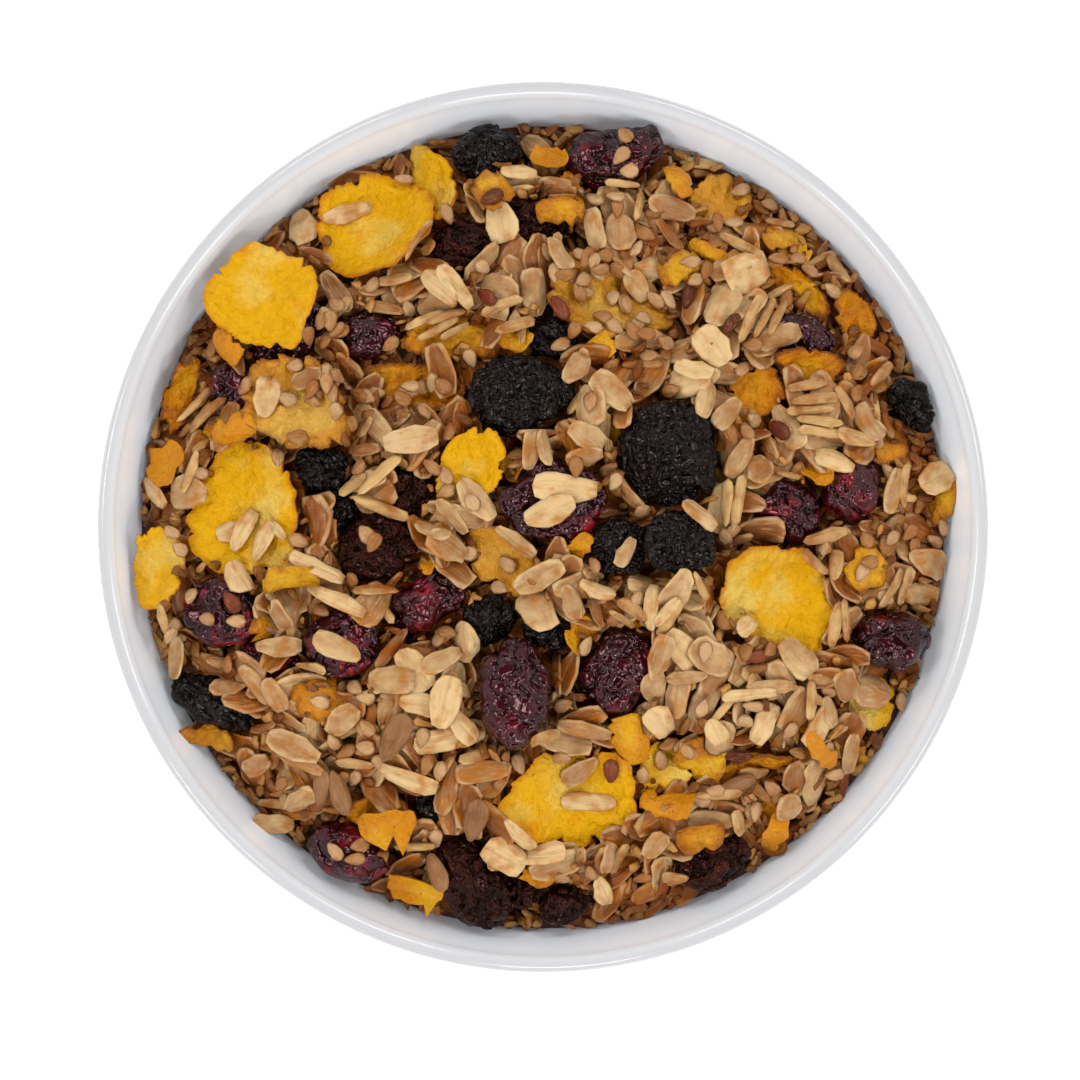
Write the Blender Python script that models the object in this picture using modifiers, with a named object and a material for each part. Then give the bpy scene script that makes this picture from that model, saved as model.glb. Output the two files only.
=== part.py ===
"""A small white porcelain bowl, heaped with granola.

The granola itself is one solid: a domed core with oats fused to it. Dried
fruit and corn flakes lie on that core, each as its own solid, let down from
above until it meets what is there, and the oats leave room for them. Lengths
are in metres, +Z is up, and the origin is on the table, under the middle of
the foot ring. Every draw of a random number is seeded, so the heap is the same
each time.
"""

import math
import random

import bmesh
import bpy
from mathutils import Matrix, Vector
from mathutils.bvhtree import BVHTree

MM = 0.001
GAP = 0.35 * MM  # air between two solids that lie on each other

# The bowl
RIM_RADIUS = 65 * MM
RIM_HEIGHT = 58 * MM
LIP = 2.4 * MM  # thickness of the wall at its round lip
FLOOR = 8.5 * MM  # height of the inside at its middle
BELLY = 3.8 * MM  # height that the outer wall would come down to at its middle
FOOT_RADIUS = 29 * MM
FOOT_WIDTH = 3.2 * MM
FOOT_EDGE = 0.6 * MM  # bevel of the ring's edges
FOOT_TOP = 6.2 * MM  # height at which the wall meets the ring
RECESS = 3.2 * MM  # depth of the hollow inside the ring
WALL_CURVE = 1.5  # how slowly the wall leaves the upright below the lip
INNER_ROUND = 2.6  # how flat the inside is at its floor
OUTER_ROUND = 3.0
BOWL_SIDES = 40
INNER_LEVELS = (0.14, 0.3, 0.48, 0.66, 0.82, 0.94)  # shares of the depth
OUTER_LEVELS = (0.17, 0.36, 0.55, 0.72, 0.84, 0.91)

# The core of the heap
CORE_EDGE = RIM_HEIGHT - 12 * MM
CORE_CROWN = RIM_HEIGHT - 1.5 * MM
CORE_FULLNESS = 2.6  # how flat the dome is at its crown
CORE_SIDES = 24
CORE_RINGS = 7
WALL_GAP = 0.5 * MM
ROLL = 0.9 * MM  # height of the rolls in the core
ROLL_LENGTHS = (9 * MM, 10 * MM, 11 * MM)  # their wavelengths, over two pi

# Length, width and thickness of the small pieces
OAT = (9.0 * MM, 4.0 * MM, 2.0 * MM)
KERNEL = (8.0 * MM, 4.2 * MM, 2.2 * MM)
SEED = (3.3 * MM, 2.1 * MM, 1.3 * MM)
SPREAD = (OAT, OAT, OAT, KERNEL)  # the order in which they cover the core
GRAINS = 220  # places tried for them, over the whole core
GRAIN_SCATTER = 1.0 * MM  # how far a grain may lie from its place on the spiral
GRAIN_SIZES = (0.85, 1.15)  # smallest and largest, as shares of the usual size
GRAIN_TILTS = (4, 28)  # degrees
GOLDEN_ANGLE = math.radians(137.508)

# Shapes of the toppings, as shares of their size
LUMP = 0.09  # wide lumps of a dried fruit
FINE_LUMP = 0.05
FLAKE_CUPS = (0.10, 0.16)  # depth of a flake's cup, least and most
FLAKE_WAVES = (0.05, 0.09)
FLAKE_LOBES = (0.07, 0.06, 0.05)  # height of its two, three and five lobes
FLAKE_THICKNESS = 1.1 * MM
LARGE_FLAKE = 8 * MM  # a flake wider than this has a finer grid

# How the toppings settle
TOPPING_RISE = 3 * MM  # height of a topping's middle above the core
WOBBLE = (-12, -6, 0, 6, 12)  # degrees that a flake may tilt
TILT_COST = 0.04 * MM  # height that a tilt of a degree must save
SHIFT = 1.5 * MM  # how far sideways a piece may move
SHIFT_COST = 0.7  # height that it must save, as a share of the shift
DROP_HEIGHT = 22 * MM
DROP_STEPS = (1.0 * MM, 0.25 * MM, 0.06 * MM)

# How the places below are read: pixels of a view from straight above
PIXEL = MM / 6.87  # at the height of the rim
BOWL_PIXEL = (543, 527)
EYE = 480 * MM  # height of the eye above the rim

# Dried fruit: name, place, length and width in pixels, turn in degrees,
# thickness as a share of the width, dent in the top as a share of the thickness
FRUIT = (
    ("cranberry_01", (290, 334), 92, 56, 25, 0.55, 0.0),
    ("cranberry_02", (236, 384), 58, 46, -20, 0.60, 0.0),
    ("cranberry_03", (366, 336), 72, 54, 20, 0.62, 0.0),
    ("black_raisin_01", (486, 143), 70, 66, 60, 0.72, 0.0),
    ("cranberry_04", (614, 157), 110, 66, 14, 0.78, 0.0),
    ("raisin_01", (461, 247), 64, 58, 10, 0.68, 0.0),
    ("raisin_02", (524, 234), 72, 58, 10, 0.70, 0.0),
    ("black_raisin_02", (553, 337), 56, 44, -30, 0.70, 0.0),
    ("black_raisin_03", (521, 394), 106, 80, 5, 0.60, 0.0),
    ("black_raisin_04", (669, 451), 108, 104, 70, 0.54, 0.0),
    ("cranberry_05", (555, 502), 108, 80, 5, 0.62, 0.35),
    ("black_raisin_05", (613, 541), 62, 62, 80, 0.62, 0.0),
    ("black_raisin_06", (668, 543), 72, 68, -30, 0.64, 0.0),
    ("raisin_03", (412, 488), 58, 44, 80, 0.70, 0.0),
    ("raisin_04", (377, 548), 88, 70, -5, 0.62, 0.0),
    ("black_raisin_07", (321, 467), 60, 48, -10, 0.70, 0.0),
    ("cranberry_06", (427, 602), 86, 56, 35, 0.72, 0.0),
    ("black_raisin_08", (483, 613), 58, 56, 0, 0.66, 0.0),
    ("black_raisin_09", (543, 622), 66, 48, -20, 0.70, 0.0),
    ("cranberry_07", (516, 682), 120, 80, 85, 0.60, 0.0),
    ("cranberry_08", (616, 675), 98, 70, 60, 0.62, 0.0),
    ("cranberry_09", (342, 644), 84, 76, 20, 0.60, 0.35),
    ("cranberry_10", (224, 612), 90, 70, -15, 0.64, 0.0),
    ("black_raisin_10", (212, 702), 102, 50, -36, 0.80, 0.0),
    ("cranberry_11", (340, 851), 96, 66, -8, 0.70, 0.0),
    ("raisin_05", (481, 890), 112, 74, -62, 0.64, 0.0),
    ("raisin_06", (566, 903), 60, 48, 0, 0.70, 0.0),
    ("raisin_07", (713, 863), 78, 58, 15, 0.70, 0.0),
    ("cranberry_12", (893, 640), 92, 66, -5, 0.74, 0.0),
    ("cranberry_13", (790, 511), 68, 60, -35, 0.70, 0.0),
    ("cranberry_14", (850, 490), 70, 62, 80, 0.70, 0.0),
    ("black_raisin_11", (910, 405), 62, 46, -52, 0.76, 0.0),
    ("cranberry_15", (803, 335), 70, 44, -15, 0.66, 0.0),
)

# Corn flakes, those underneath first: name, place, length and width in pixels,
# turn in degrees, lean about the length in degrees
FLAKES = (
    ("corn_flake_01", (447, 184), 92, 50, -70, 25),
    ("corn_flake_02", (379, 229), 126, 110, 45, 0),
    ("corn_flake_03", (268, 291), 112, 104, 40, 0),
    ("corn_flake_04", (727, 194), 68, 56, 0, 0),
    ("corn_flake_05", (604, 310), 132, 84, -18, 0),
    ("corn_flake_06", (438, 338), 96, 48, 0, 15),
    ("corn_flake_07", (413, 387), 98, 50, -5, 0),
    ("corn_flake_08", (300, 403), 128, 84, -22, 0),
    ("corn_flake_09", (188, 392), 86, 36, 62, 50),
    ("corn_flake_10", (248, 512), 146, 116, 100, 0),
    ("corn_flake_11", (162, 566), 84, 62, 80, 0),
    ("corn_flake_12", (481, 459), 78, 66, 60, 0),
    ("corn_flake_13", (508, 558), 88, 56, -40, 15),
    ("corn_flake_14", (766, 586), 124, 108, -40, 0),
    ("corn_flake_15", (755, 391), 62, 54, 20, 0),
    ("corn_flake_16", (797, 284), 80, 32, -38, 50),
    ("corn_flake_17", (848, 325), 66, 38, -70, 25),
    ("corn_flake_18", (797, 363), 84, 36, -8, 45),
    ("corn_flake_19", (872, 704), 60, 46, 65, 0),
    ("corn_flake_20", (572, 799), 138, 106, 15, 0),
    ("corn_flake_21", (668, 765), 64, 52, 40, 0),
    ("corn_flake_22", (750, 762), 88, 38, 12, 45),
    ("corn_flake_23", (773, 817), 76, 36, -75, 40),
    ("corn_flake_24", (381, 819), 68, 42, 0, 0),
    ("corn_flake_25", (935, 488), 62, 40, -75, 10),
)

# What sticks to a topping: its size, place in pixels, turn in degrees
STUCK = (
    (SEED, (625, 135), -35),
    (SEED, (621, 156), 15),
    (SEED, (629, 171), 5),
    (OAT, (569, 486), 10),
    (OAT, (549, 513), 14),
    (OAT, (348, 213), 14),
    (SEED, (562, 306), -55),
    (SEED, (590, 326), 0),
    (SEED, (610, 300), 60),
    (SEED, (628, 322), 75),
    (OAT, (265, 396), 80),
    (SEED, (316, 383), -10),
    (SEED, (334, 396), 70),
    (OAT, (258, 538), 60),
    (OAT, (588, 803), -4),
    (OAT, (829, 461), -16),
    (OAT, (338, 648), -30),
    (SEED, (347, 846), -45),
    (SEED, (362, 856), 20),
    (OAT, (366, 540), 50),
)

# Colour and roughness of each kind of piece
FINISHES = {
    "bowl": ((0.86, 0.86, 0.85, 1), 0.15),
    "granola_heap": ((0.55, 0.36, 0.18, 1), 0.6),
    "raisin": ((0.075, 0.03, 0.02, 1), 0.45),
    "black_raisin": ((0.015, 0.013, 0.014, 1), 0.5),
    "cranberry": ((0.09, 0.012, 0.02, 1), 0.3),
    "corn_flake": ((0.75, 0.42, 0.05, 1), 0.6),
}


# ---------------------------------------------------------------- objects


def clear_scene():
    for old in list(bpy.data.objects):
        bpy.data.objects.remove(old)


def new_collection(name):
    collection = bpy.data.collections.new(name)
    bpy.context.scene.collection.children.link(collection)
    return collection


def finish(kind):
    """The material of a kind of piece, made the first time that it is asked for."""
    material = bpy.data.materials.get(kind)
    if material is None:
        colour, roughness = FINISHES[kind]
        material = bpy.data.materials.new(kind)
        material.use_nodes = True
        shader = material.node_tree.nodes["Principled BSDF"]
        shader.inputs["Base Color"].default_value = colour
        shader.inputs["Roughness"].default_value = roughness
        material.diffuse_color = colour
    return material


def kind_of(name):
    """A piece's name without its number."""
    return name.rstrip("0123456789_")


def add_object(name, mesh, collection, kind):
    made = bpy.data.objects.new(name, mesh)
    mesh.materials.append(finish(kind))
    collection.objects.link(made)
    return made


def mesh_from(bm, name):
    mesh = bpy.data.meshes.new(name)
    bm.to_mesh(mesh)
    bm.free()
    return mesh


def apply_modifiers(obj):
    bpy.context.view_layer.update()
    graph = bpy.context.evaluated_depsgraph_get()
    mesh = bpy.data.meshes.new_from_object(obj.evaluated_get(graph))
    obj.modifiers.clear()
    obj.data = mesh


def set_down(obj, place):
    """Puts the mesh of an object at its place in the heap."""
    obj.data.transform(place)


def shade(obj, sharp_degrees):
    obj.data.shade_smooth()
    obj.data.set_sharp_from_angle(angle=math.radians(sharp_degrees))


def turned(name, profile, sides, collection):
    """A solid of revolution about Z, from a profile that runs down its outer side."""
    mesh = bpy.data.meshes.new(name)
    points = [(radius, 0, height) for radius, height in profile]
    mesh.from_pydata(points, [(i, i + 1) for i in range(len(points) - 1)], [])
    made = add_object(name, mesh, collection, name)
    screw = made.modifiers.new("Turn", "SCREW")
    screw.steps = screw.render_steps = sides
    screw.use_merge_vertices = True
    screw.merge_threshold = 0.01 * MM
    apply_modifiers(made)
    return made


# ---------------------------------------------------------------- bowl

WALL_TOP = RIM_HEIGHT - LIP / 2  # where the wall ends and the round lip starts


def inner_wall(share):
    """(radius, height) of the inside at a share of its depth, from 0 at the lip to 1 at the floor."""
    radius = (RIM_RADIUS - LIP) * (1 - share**WALL_CURVE) ** (1 / INNER_ROUND)
    return radius, WALL_TOP - share * (WALL_TOP - FLOOR)


def outer_wall(share):
    radius = RIM_RADIUS * (1 - share**WALL_CURVE) ** (1 / OUTER_ROUND)
    return radius, WALL_TOP - share * (WALL_TOP - BELLY)


def lip_point(degrees):
    """A point on the half circle that closes the wall at its top."""
    angle = math.radians(degrees)
    return RIM_RADIUS - LIP / 2 * (1 - math.cos(angle)), WALL_TOP + LIP / 2 * math.sin(angle)


def make_bowl(collection):
    """The bowl, turned from a profile that goes up the inside, over the lip and down to the foot."""
    foot_inside = FOOT_RADIUS - FOOT_WIDTH
    profile = [(0, FLOOR)]
    profile += [inner_wall(share) for share in reversed(INNER_LEVELS)]
    profile += [lip_point(degrees) for degrees in (180, 135, 90, 45, 0)]
    profile += [outer_wall(share) for share in OUTER_LEVELS]
    profile += [
        (FOOT_RADIUS + FOOT_EDGE, FOOT_TOP),
        (FOOT_RADIUS, FOOT_EDGE),
        (FOOT_RADIUS - FOOT_EDGE, 0),
        (foot_inside, 0),
        (foot_inside - FOOT_EDGE, RECESS),
        (0, RECESS),
    ]
    shade(turned("bowl", profile, BOWL_SIDES, collection), 40)


# ---------------------------------------------------------------- core of the heap


def depth_share(height):
    return (WALL_TOP - height) / (WALL_TOP - FLOOR)


CORE_RADIUS = inner_wall(depth_share(CORE_EDGE))[0] - WALL_GAP


def core_top(x, y):
    """Height of the core: a dome, with rolls that fade out towards the wall."""
    share = min(1.0, math.hypot(x, y) / CORE_RADIUS)
    dome = CORE_EDGE + (CORE_CROWN - CORE_EDGE) * (1 - share**CORE_FULLNESS)
    across, along, diagonal = ROLL_LENGTHS
    wide = math.sin(x / across + 0.6) * math.cos(y / along)
    slanting = math.sin((x + 1.7 * y) / diagonal + 2.0)
    return dome + ROLL * (wide + 0.6 * slanting) * (1 - share**4)


def make_core(collection):
    """A turned body that fills the bowl, its top then raised to the dome."""
    profile = [(CORE_RADIUS * ring / CORE_RINGS, CORE_EDGE) for ring in range(CORE_RINGS + 1)]
    for share in INNER_LEVELS:
        radius, height = inner_wall(share)
        if height < CORE_EDGE - LIP:
            profile.append((radius - WALL_GAP, height + WALL_GAP / 2))
    profile.append((0, FLOOR + WALL_GAP))
    core = turned("granola_heap", profile, CORE_SIDES, collection)
    for vertex in core.data.vertices:
        if vertex.co.z > CORE_EDGE - WALL_GAP:
            vertex.co.z = core_top(vertex.co.x, vertex.co.y)
    return core


def frame_along(up, turn):
    """Rotation that turns X to the compass angle `turn` and Z to `up`."""
    along = Vector((math.cos(turn), math.sin(turn), 0))
    across = up.cross(along).normalized()
    return Matrix((across.cross(up), across, up)).transposed().to_4x4()


def core_frame(x, y, turn):
    """Rotation of a piece that lies flat on the core."""
    step = 2 * MM
    east = Vector((2 * step, 0, core_top(x + step, y) - core_top(x - step, y)))
    north = Vector((0, 2 * step, core_top(x, y + step) - core_top(x, y - step)))
    return frame_along(east.cross(north).normalized(), turn)


# ---------------------------------------------------------------- shapes of the pieces


def fruit_mesh(name, size, dent):
    """A lumpy ellipsoid, with a dent in its top where the fruit is a cupped half."""
    draw = random.Random(name)
    a, b, c = (draw.uniform(0, math.tau) for _ in range(3))
    bm = bmesh.new()
    bmesh.ops.create_icosphere(bm, subdivisions=2, radius=1)
    for vertex in bm.verts:
        x, y, z = vertex.co
        lump = 1 + LUMP * math.sin(3.1 * x + a) * math.cos(2.7 * y + b)
        lump += FINE_LUMP * math.sin(4.3 * z + c)
        hollow = dent * math.exp(-3.5 * (x * x + y * y)) if z > 0 else 0
        vertex.co = (
            x * lump * size[0] / 2,
            y * lump * size[1] / 2,
            (z * lump / 2 - hollow) * size[2],
        )
    return mesh_from(bm, name)


def flake_mesh(name, size):
    """The middle sheet of a corn flake: a disc with a lobed outline, cupped and waved."""
    draw = random.Random(name)
    a, b, c, d = (draw.uniform(0, math.tau) for _ in range(4))
    cup = draw.uniform(*FLAKE_CUPS) * size[1]
    wave = draw.uniform(*FLAKE_WAVES) * size[1]
    cells = 4 if size[1] > LARGE_FLAKE else 3
    bm = bmesh.new()
    bmesh.ops.create_grid(bm, x_segments=cells, y_segments=cells, size=1)
    for vertex in bm.verts:
        x, y, _ = vertex.co
        # The square grid is drawn in to a round one.
        u = x * math.sqrt(1 - y * y / 2)
        v = y * math.sqrt(1 - x * x / 2)
        reach, angle = math.hypot(u, v), math.atan2(v, u)
        two, three, five = FLAKE_LOBES
        lobes = 1 + two * math.sin(2 * angle + a) + three * math.sin(3 * angle + b)
        lobes += five * math.sin(5 * angle + c)
        rise = cup * reach**2 + wave * reach * math.sin(2 * angle + d)
        vertex.co = (u * size[0] / 2 * lobes, v * size[1] / 2 * lobes, rise)
    bmesh.ops.triangulate(bm, faces=bm.faces)
    return mesh_from(bm, name)


def grain_mesh(size, sides=6):
    """A flattened grain that is pointed at both ends, its length along X."""
    bm = bmesh.new()
    bmesh.ops.create_uvsphere(bm, u_segments=sides, v_segments=3, radius=0.5)
    bmesh.ops.rotate(bm, verts=bm.verts, matrix=Matrix.Rotation(math.pi / 2, 3, "Y"))
    bmesh.ops.scale(bm, verts=bm.verts, vec=size)
    bmesh.ops.triangulate(bm, faces=bm.faces)
    return mesh_from(bm, "grain")


# ---------------------------------------------------------------- finding room


class Body:
    """The corners and faces of a mesh, and those corners moved out by the gap."""

    def __init__(self, obj):
        mesh = obj.data
        mesh.calc_loop_triangles()
        self.corners = [vertex.co.copy() for vertex in mesh.vertices]
        self.wide = [vertex.co + vertex.normal * GAP * 1.2 for vertex in mesh.vertices]
        self.faces = [tuple(face.vertices) for face in mesh.loop_triangles]

    def tree(self):
        return BVHTree.FromPolygons(self.corners, self.faces)

    def wide_tree(self, place):
        return BVHTree.FromPolygons([place @ corner for corner in self.wide], self.faces)


class Obstacles:
    """Everything that is already in its place, as one surface."""

    def __init__(self, objects):
        self.corners = []
        self.faces = []
        for obj in objects:
            self.add(obj)

    def add(self, obj):
        body = Body(obj)
        first = len(self.corners)
        self.corners += body.corners
        self.faces += [tuple(first + i for i in face) for face in body.faces]
        self.tree = BVHTree.FromPolygons(self.corners, self.faces)

    def meets(self, body, place):
        return bool(self.tree.overlap(body.wide_tree(place)))


def place_of(pixel, height):
    """(x, y) of what shows at a pixel, if it is at that height."""
    scale = PIXEL * (1 - (height - RIM_HEIGHT) / EYE)
    return (pixel[0] - BOWL_PIXEL[0]) * scale, (BOWL_PIXEL[1] - pixel[1]) * scale


def let_down(body, x, y, rotation, obstacles):
    """The place where a body comes to rest when it is let down at (x, y), in steps that get finer."""
    height = core_top(x, y) + DROP_HEIGHT
    for step in DROP_STEPS:
        while not obstacles.meets(body, Matrix.Translation((x, y, height - step)) @ rotation):
            height -= step
    return Matrix.Translation((x, y, height)) @ rotation


def settle(obj, pixel, turn, lean, wobble, obstacles):
    """Lets a piece down at the tilt, and then with the shift sideways, that bring it lowest.

    Tilts and shifts have a cost, so a piece leans or moves only where that lets
    it sink between its neighbours.
    """
    body = Body(obj)
    x, y = place_of(pixel, core_top(*place_of(pixel, RIM_HEIGHT)) + TOPPING_RISE)
    flat = core_frame(x, y, turn)
    tries = []
    for pitch in wobble:
        for roll in wobble:
            tilt = Matrix.Rotation(math.radians(lean + roll), 4, "X")
            tilt = Matrix.Rotation(math.radians(pitch), 4, "Y") @ tilt
            place = let_down(body, x, y, flat @ tilt, obstacles)
            cost = place.translation.z + TILT_COST * (abs(pitch) + abs(roll))
            tries.append((cost, place))
    cost, best = min(tries, key=lambda tried: tried[0])
    rotation = best.to_3x3().to_4x4()
    for step in range(8):
        angle = step * math.tau / 8
        here = (x + SHIFT * math.cos(angle), y + SHIFT * math.sin(angle))
        place = let_down(body, *here, rotation, obstacles)
        if place.translation.z + SHIFT_COST * SHIFT < cost:
            cost = place.translation.z + SHIFT_COST * SHIFT
            best = place
    set_down(obj, best)
    obstacles.add(obj)


def make_fruit(collection, obstacles):
    made = []
    for name, pixel, long, wide, turn, thickness, dent in FRUIT:
        size = (long * PIXEL, wide * PIXEL, wide * PIXEL * thickness)
        fruit = add_object(name, fruit_mesh(name, size, dent), collection, kind_of(name))
        settle(fruit, pixel, math.radians(turn), 0, (0,), obstacles)
        shade(fruit, 50)
        made.append(fruit)
    return made


def make_flakes(collection, obstacles):
    made = []
    for name, pixel, long, wide, turn, lean in FLAKES:
        sheet = flake_mesh(name, (long * PIXEL, wide * PIXEL))
        flake = add_object(name, sheet, collection, kind_of(name))
        solid = flake.modifiers.new("Thickness", "SOLIDIFY")
        solid.thickness = FLAKE_THICKNESS
        solid.offset = 0
        apply_modifiers(flake)
        settle(flake, pixel, math.radians(turn), lean, WOBBLE, obstacles)
        made.append(flake)
    return made


# ---------------------------------------------------------------- fusing


def keep_largest(bm):
    """Deletes every loose body of a mesh but the largest."""
    left, groups = set(bm.verts), []
    while left:
        reached = [left.pop()]
        for vertex in reached:
            for edge in vertex.link_edges:
                other = edge.other_vert(vertex)
                if other in left:
                    left.remove(other)
                    reached.append(other)
        groups.append(reached)
    groups.sort(key=len)
    for group in groups[:-1]:
        bmesh.ops.delete(bm, geom=group, context="VERTS")


def fuse(obj, grains):
    """Joins grains to the object that they lie on, by one Boolean union."""
    helpers = new_collection("grains")
    for grain in grains:
        grain.hide_render = True
        grain.display_type = "WIRE"
        helpers.objects.link(grain)
    union = obj.modifiers.new("Grains", "BOOLEAN")
    union.operation = "UNION"
    union.operand_type = "COLLECTION"
    union.collection = helpers
    apply_modifiers(obj)
    for grain in grains:
        bpy.data.objects.remove(grain)
    bpy.data.collections.remove(helpers)
    bm = bmesh.new()
    bm.from_mesh(obj.data)
    bmesh.ops.remove_doubles(bm, verts=bm.verts, dist=0.003 * MM)
    bmesh.ops.dissolve_degenerate(bm, edges=bm.edges, dist=0.003 * MM)
    bmesh.ops.triangulate(bm, faces=bm.faces)
    keep_largest(bm)
    bm.to_mesh(obj.data)
    bm.free()


def loose_grain(size, sides=6):
    mesh = grain_mesh(size, sides)
    mesh.materials.append(finish("granola_heap"))
    return bpy.data.objects.new("grain", mesh)


def cover_core(core, obstacles):
    """Lays grains on the core in a sunflower spiral, each at the first turn that clears the toppings."""
    draw = random.Random("grains")
    grains = []
    for i in range(GRAINS):
        reach = (CORE_RADIUS - OAT[1] / 2) * math.sqrt((i + 0.5) / GRAINS)
        x = reach * math.cos(i * GOLDEN_ANGLE) + draw.uniform(-1, 1) * GRAIN_SCATTER
        y = reach * math.sin(i * GOLDEN_ANGLE) + draw.uniform(-1, 1) * GRAIN_SCATTER
        size = [side * draw.uniform(*GRAIN_SIZES) for side in SPREAD[i % len(SPREAD)]]
        first_turn = draw.uniform(0, math.tau)
        tilt = math.radians(draw.uniform(*GRAIN_TILTS))
        # One end stands up by the tilt, and the other is in the core.
        height = core_top(x, y) + size[2] / 5 + size[0] / 5 * math.sin(tilt)
        grain = loose_grain(size)
        body = Body(grain)
        for step in range(8):
            turn = first_turn + step * math.tau / 8
            rotation = core_frame(x, y, turn) @ Matrix.Rotation(-tilt, 4, "Y")
            place = Matrix.Translation((x, y, height)) @ rotation
            if not obstacles.meets(body, place):
                set_down(grain, place)
                grains.append(grain)
                break
        else:
            bpy.data.objects.remove(grain)
    fuse(core, grains)
    print(f"{len(grains)} grains fused to the core")


def highest_hit(x, y, trees):
    """(name, point, normal) of the topping that shows at (x, y), or None."""
    above = Vector((x, y, 2 * RIM_HEIGHT))
    best = None
    for name, tree in trees.items():
        point, normal, _, _ = tree.ray_cast(above, Vector((0, 0, -1)))
        if point and (best is None or point.z > best[1].z):
            best = (name, point, normal)
    return best


def stick_grains(toppings, core):
    """Fuses each of the stuck seeds and oats to the topping under it, where it touches no other."""
    trees = {topping.name: Body(topping).tree() for topping in toppings}
    core_tree = Body(core).tree()
    held = {name: [] for name in trees}
    for size, pixel, degrees in STUCK:
        found = highest_hit(*place_of(pixel, RIM_HEIGHT + TOPPING_RISE), trees)
        if found is None:
            continue
        name, point, normal = found
        grain = loose_grain(size, sides=6 if size is OAT else 5)
        place = Matrix.Translation(point + normal * 0.15 * size[2])
        place = place @ frame_along(normal, math.radians(degrees))
        wide = Body(grain).wide_tree(place)
        others = [tree for other, tree in trees.items() if other != name] + [core_tree]
        if any(tree.overlap(wide) for tree in others):
            bpy.data.objects.remove(grain)
        else:
            set_down(grain, place)
            held[name].append(grain)
    for topping in toppings:
        if held[topping.name]:
            fuse(topping, held[topping.name])
    print(f"{sum(map(len, held.values()))} of {len(STUCK)} grains stuck to toppings")


# ---------------------------------------------------------------- the whole


def main():
    clear_scene()
    granola_bowl = new_collection("bowl_of_granola")
    make_bowl(granola_bowl)
    core = make_core(granola_bowl)
    bowl = bpy.data.objects["bowl"]
    in_place = Obstacles([bowl, core])
    toppings = make_fruit(granola_bowl, in_place)
    toppings += make_flakes(granola_bowl, in_place)
    cover_core(core, Obstacles([bowl] + toppings))
    stick_grains(toppings, core)


main()
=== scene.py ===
# %% [markdown]
# # A bowl of granola
#
# A round bowl of white porcelain, 130 mm across, is heaped with granola: rolled
# oats, seeds, corn flakes and dried fruit. The measured model already says where
# the bowl, each corn flake and each fruit is. This lesson gives them their real
# skins, and then pours thousands of small grains round them.
#
# Lengths are in metres and +Z is up. The first cell loads the measured model.
# Nothing may grow out of it.

# %% The measured model
import math

import bpy
import numpy as np
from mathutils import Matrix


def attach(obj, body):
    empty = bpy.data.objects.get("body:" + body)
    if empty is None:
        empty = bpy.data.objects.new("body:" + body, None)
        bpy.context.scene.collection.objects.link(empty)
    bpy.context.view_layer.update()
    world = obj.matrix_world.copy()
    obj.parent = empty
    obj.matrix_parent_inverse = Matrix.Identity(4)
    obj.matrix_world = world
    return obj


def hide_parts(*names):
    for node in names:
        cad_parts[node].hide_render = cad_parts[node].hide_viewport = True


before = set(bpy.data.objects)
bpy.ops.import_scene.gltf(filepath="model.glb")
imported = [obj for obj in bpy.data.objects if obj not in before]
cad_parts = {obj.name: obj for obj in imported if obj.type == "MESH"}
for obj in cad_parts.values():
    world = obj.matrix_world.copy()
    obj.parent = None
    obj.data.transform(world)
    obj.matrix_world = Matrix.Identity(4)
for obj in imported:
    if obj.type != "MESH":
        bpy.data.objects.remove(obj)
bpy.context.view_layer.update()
MM = 0.001

# %% [markdown]
# ## The sizes that everything is worked out from
#
# The bowl is turned on a wheel, so one profile describes it. The numbers are
# those of the measured model: the rim, the thin round lip, the floor and the
# foot ring that it stands on. Under the grains lies a solid core, a low dome
# with soft rolls in it, so that nothing hollow has to be filled.

# %% Sizes of the bowl
RIM_RADIUS = 65 * MM
RIM_HEIGHT = 58 * MM
LIP = 2.4 * MM  # thickness of the wall at its round lip
FLOOR = 8.5 * MM  # height of the inside at its middle
BELLY = 3.8 * MM  # height that the outer wall would come down to at its middle
FOOT_RADIUS = 29 * MM
FOOT_WIDTH = 3.2 * MM
FOOT_EDGE = 0.6 * MM  # size of the ring's softened edges
FOOT_TOP = 6.2 * MM  # height at which the wall meets the ring
RECESS = 3.2 * MM  # depth of the hollow inside the ring
WALL_CURVE = 1.5  # how slowly the wall leaves the upright below the lip
INNER_ROUND = 2.6  # how flat the inside is at its floor
OUTER_ROUND = 3.0
WALL_TOP = RIM_HEIGHT - LIP / 2


def wall_radius(height, reach=RIM_RADIUS - LIP, low=FLOOR, fullness=INNER_ROUND):
    """Radius of the wall at a height: reach * (1 - share**1.5)**(1 / fullness).

    share goes from 0 where the lip starts to 1 at the middle of the floor.
    """
    share = np.clip((WALL_TOP - height) / (WALL_TOP - low), 0, 1)
    return reach * (1 - share**WALL_CURVE) ** (1 / fullness)


def wall_height(radius):
    """Height of the inside at a radius: the formula above, solved for the height."""
    share = (1 - np.clip(radius / (RIM_RADIUS - LIP), 0, 1) ** INNER_ROUND) ** (1 / WALL_CURVE)
    return WALL_TOP - share * (WALL_TOP - FLOOR)


# %% Sizes of the core
CORE_EDGE = RIM_HEIGHT - 12 * MM
CORE_CROWN = RIM_HEIGHT - 1.5 * MM
CORE_FULLNESS = 2.6  # how flat the dome is at its crown
ROLL = 0.9 * MM  # height of the rolls in the core
ROLL_LENGTHS = (9 * MM, 10 * MM, 11 * MM)  # their wavelengths, over two pi
WALL_GAP = 0.5 * MM
CORE_RADIUS = float(wall_radius(CORE_EDGE)) - WALL_GAP


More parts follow.
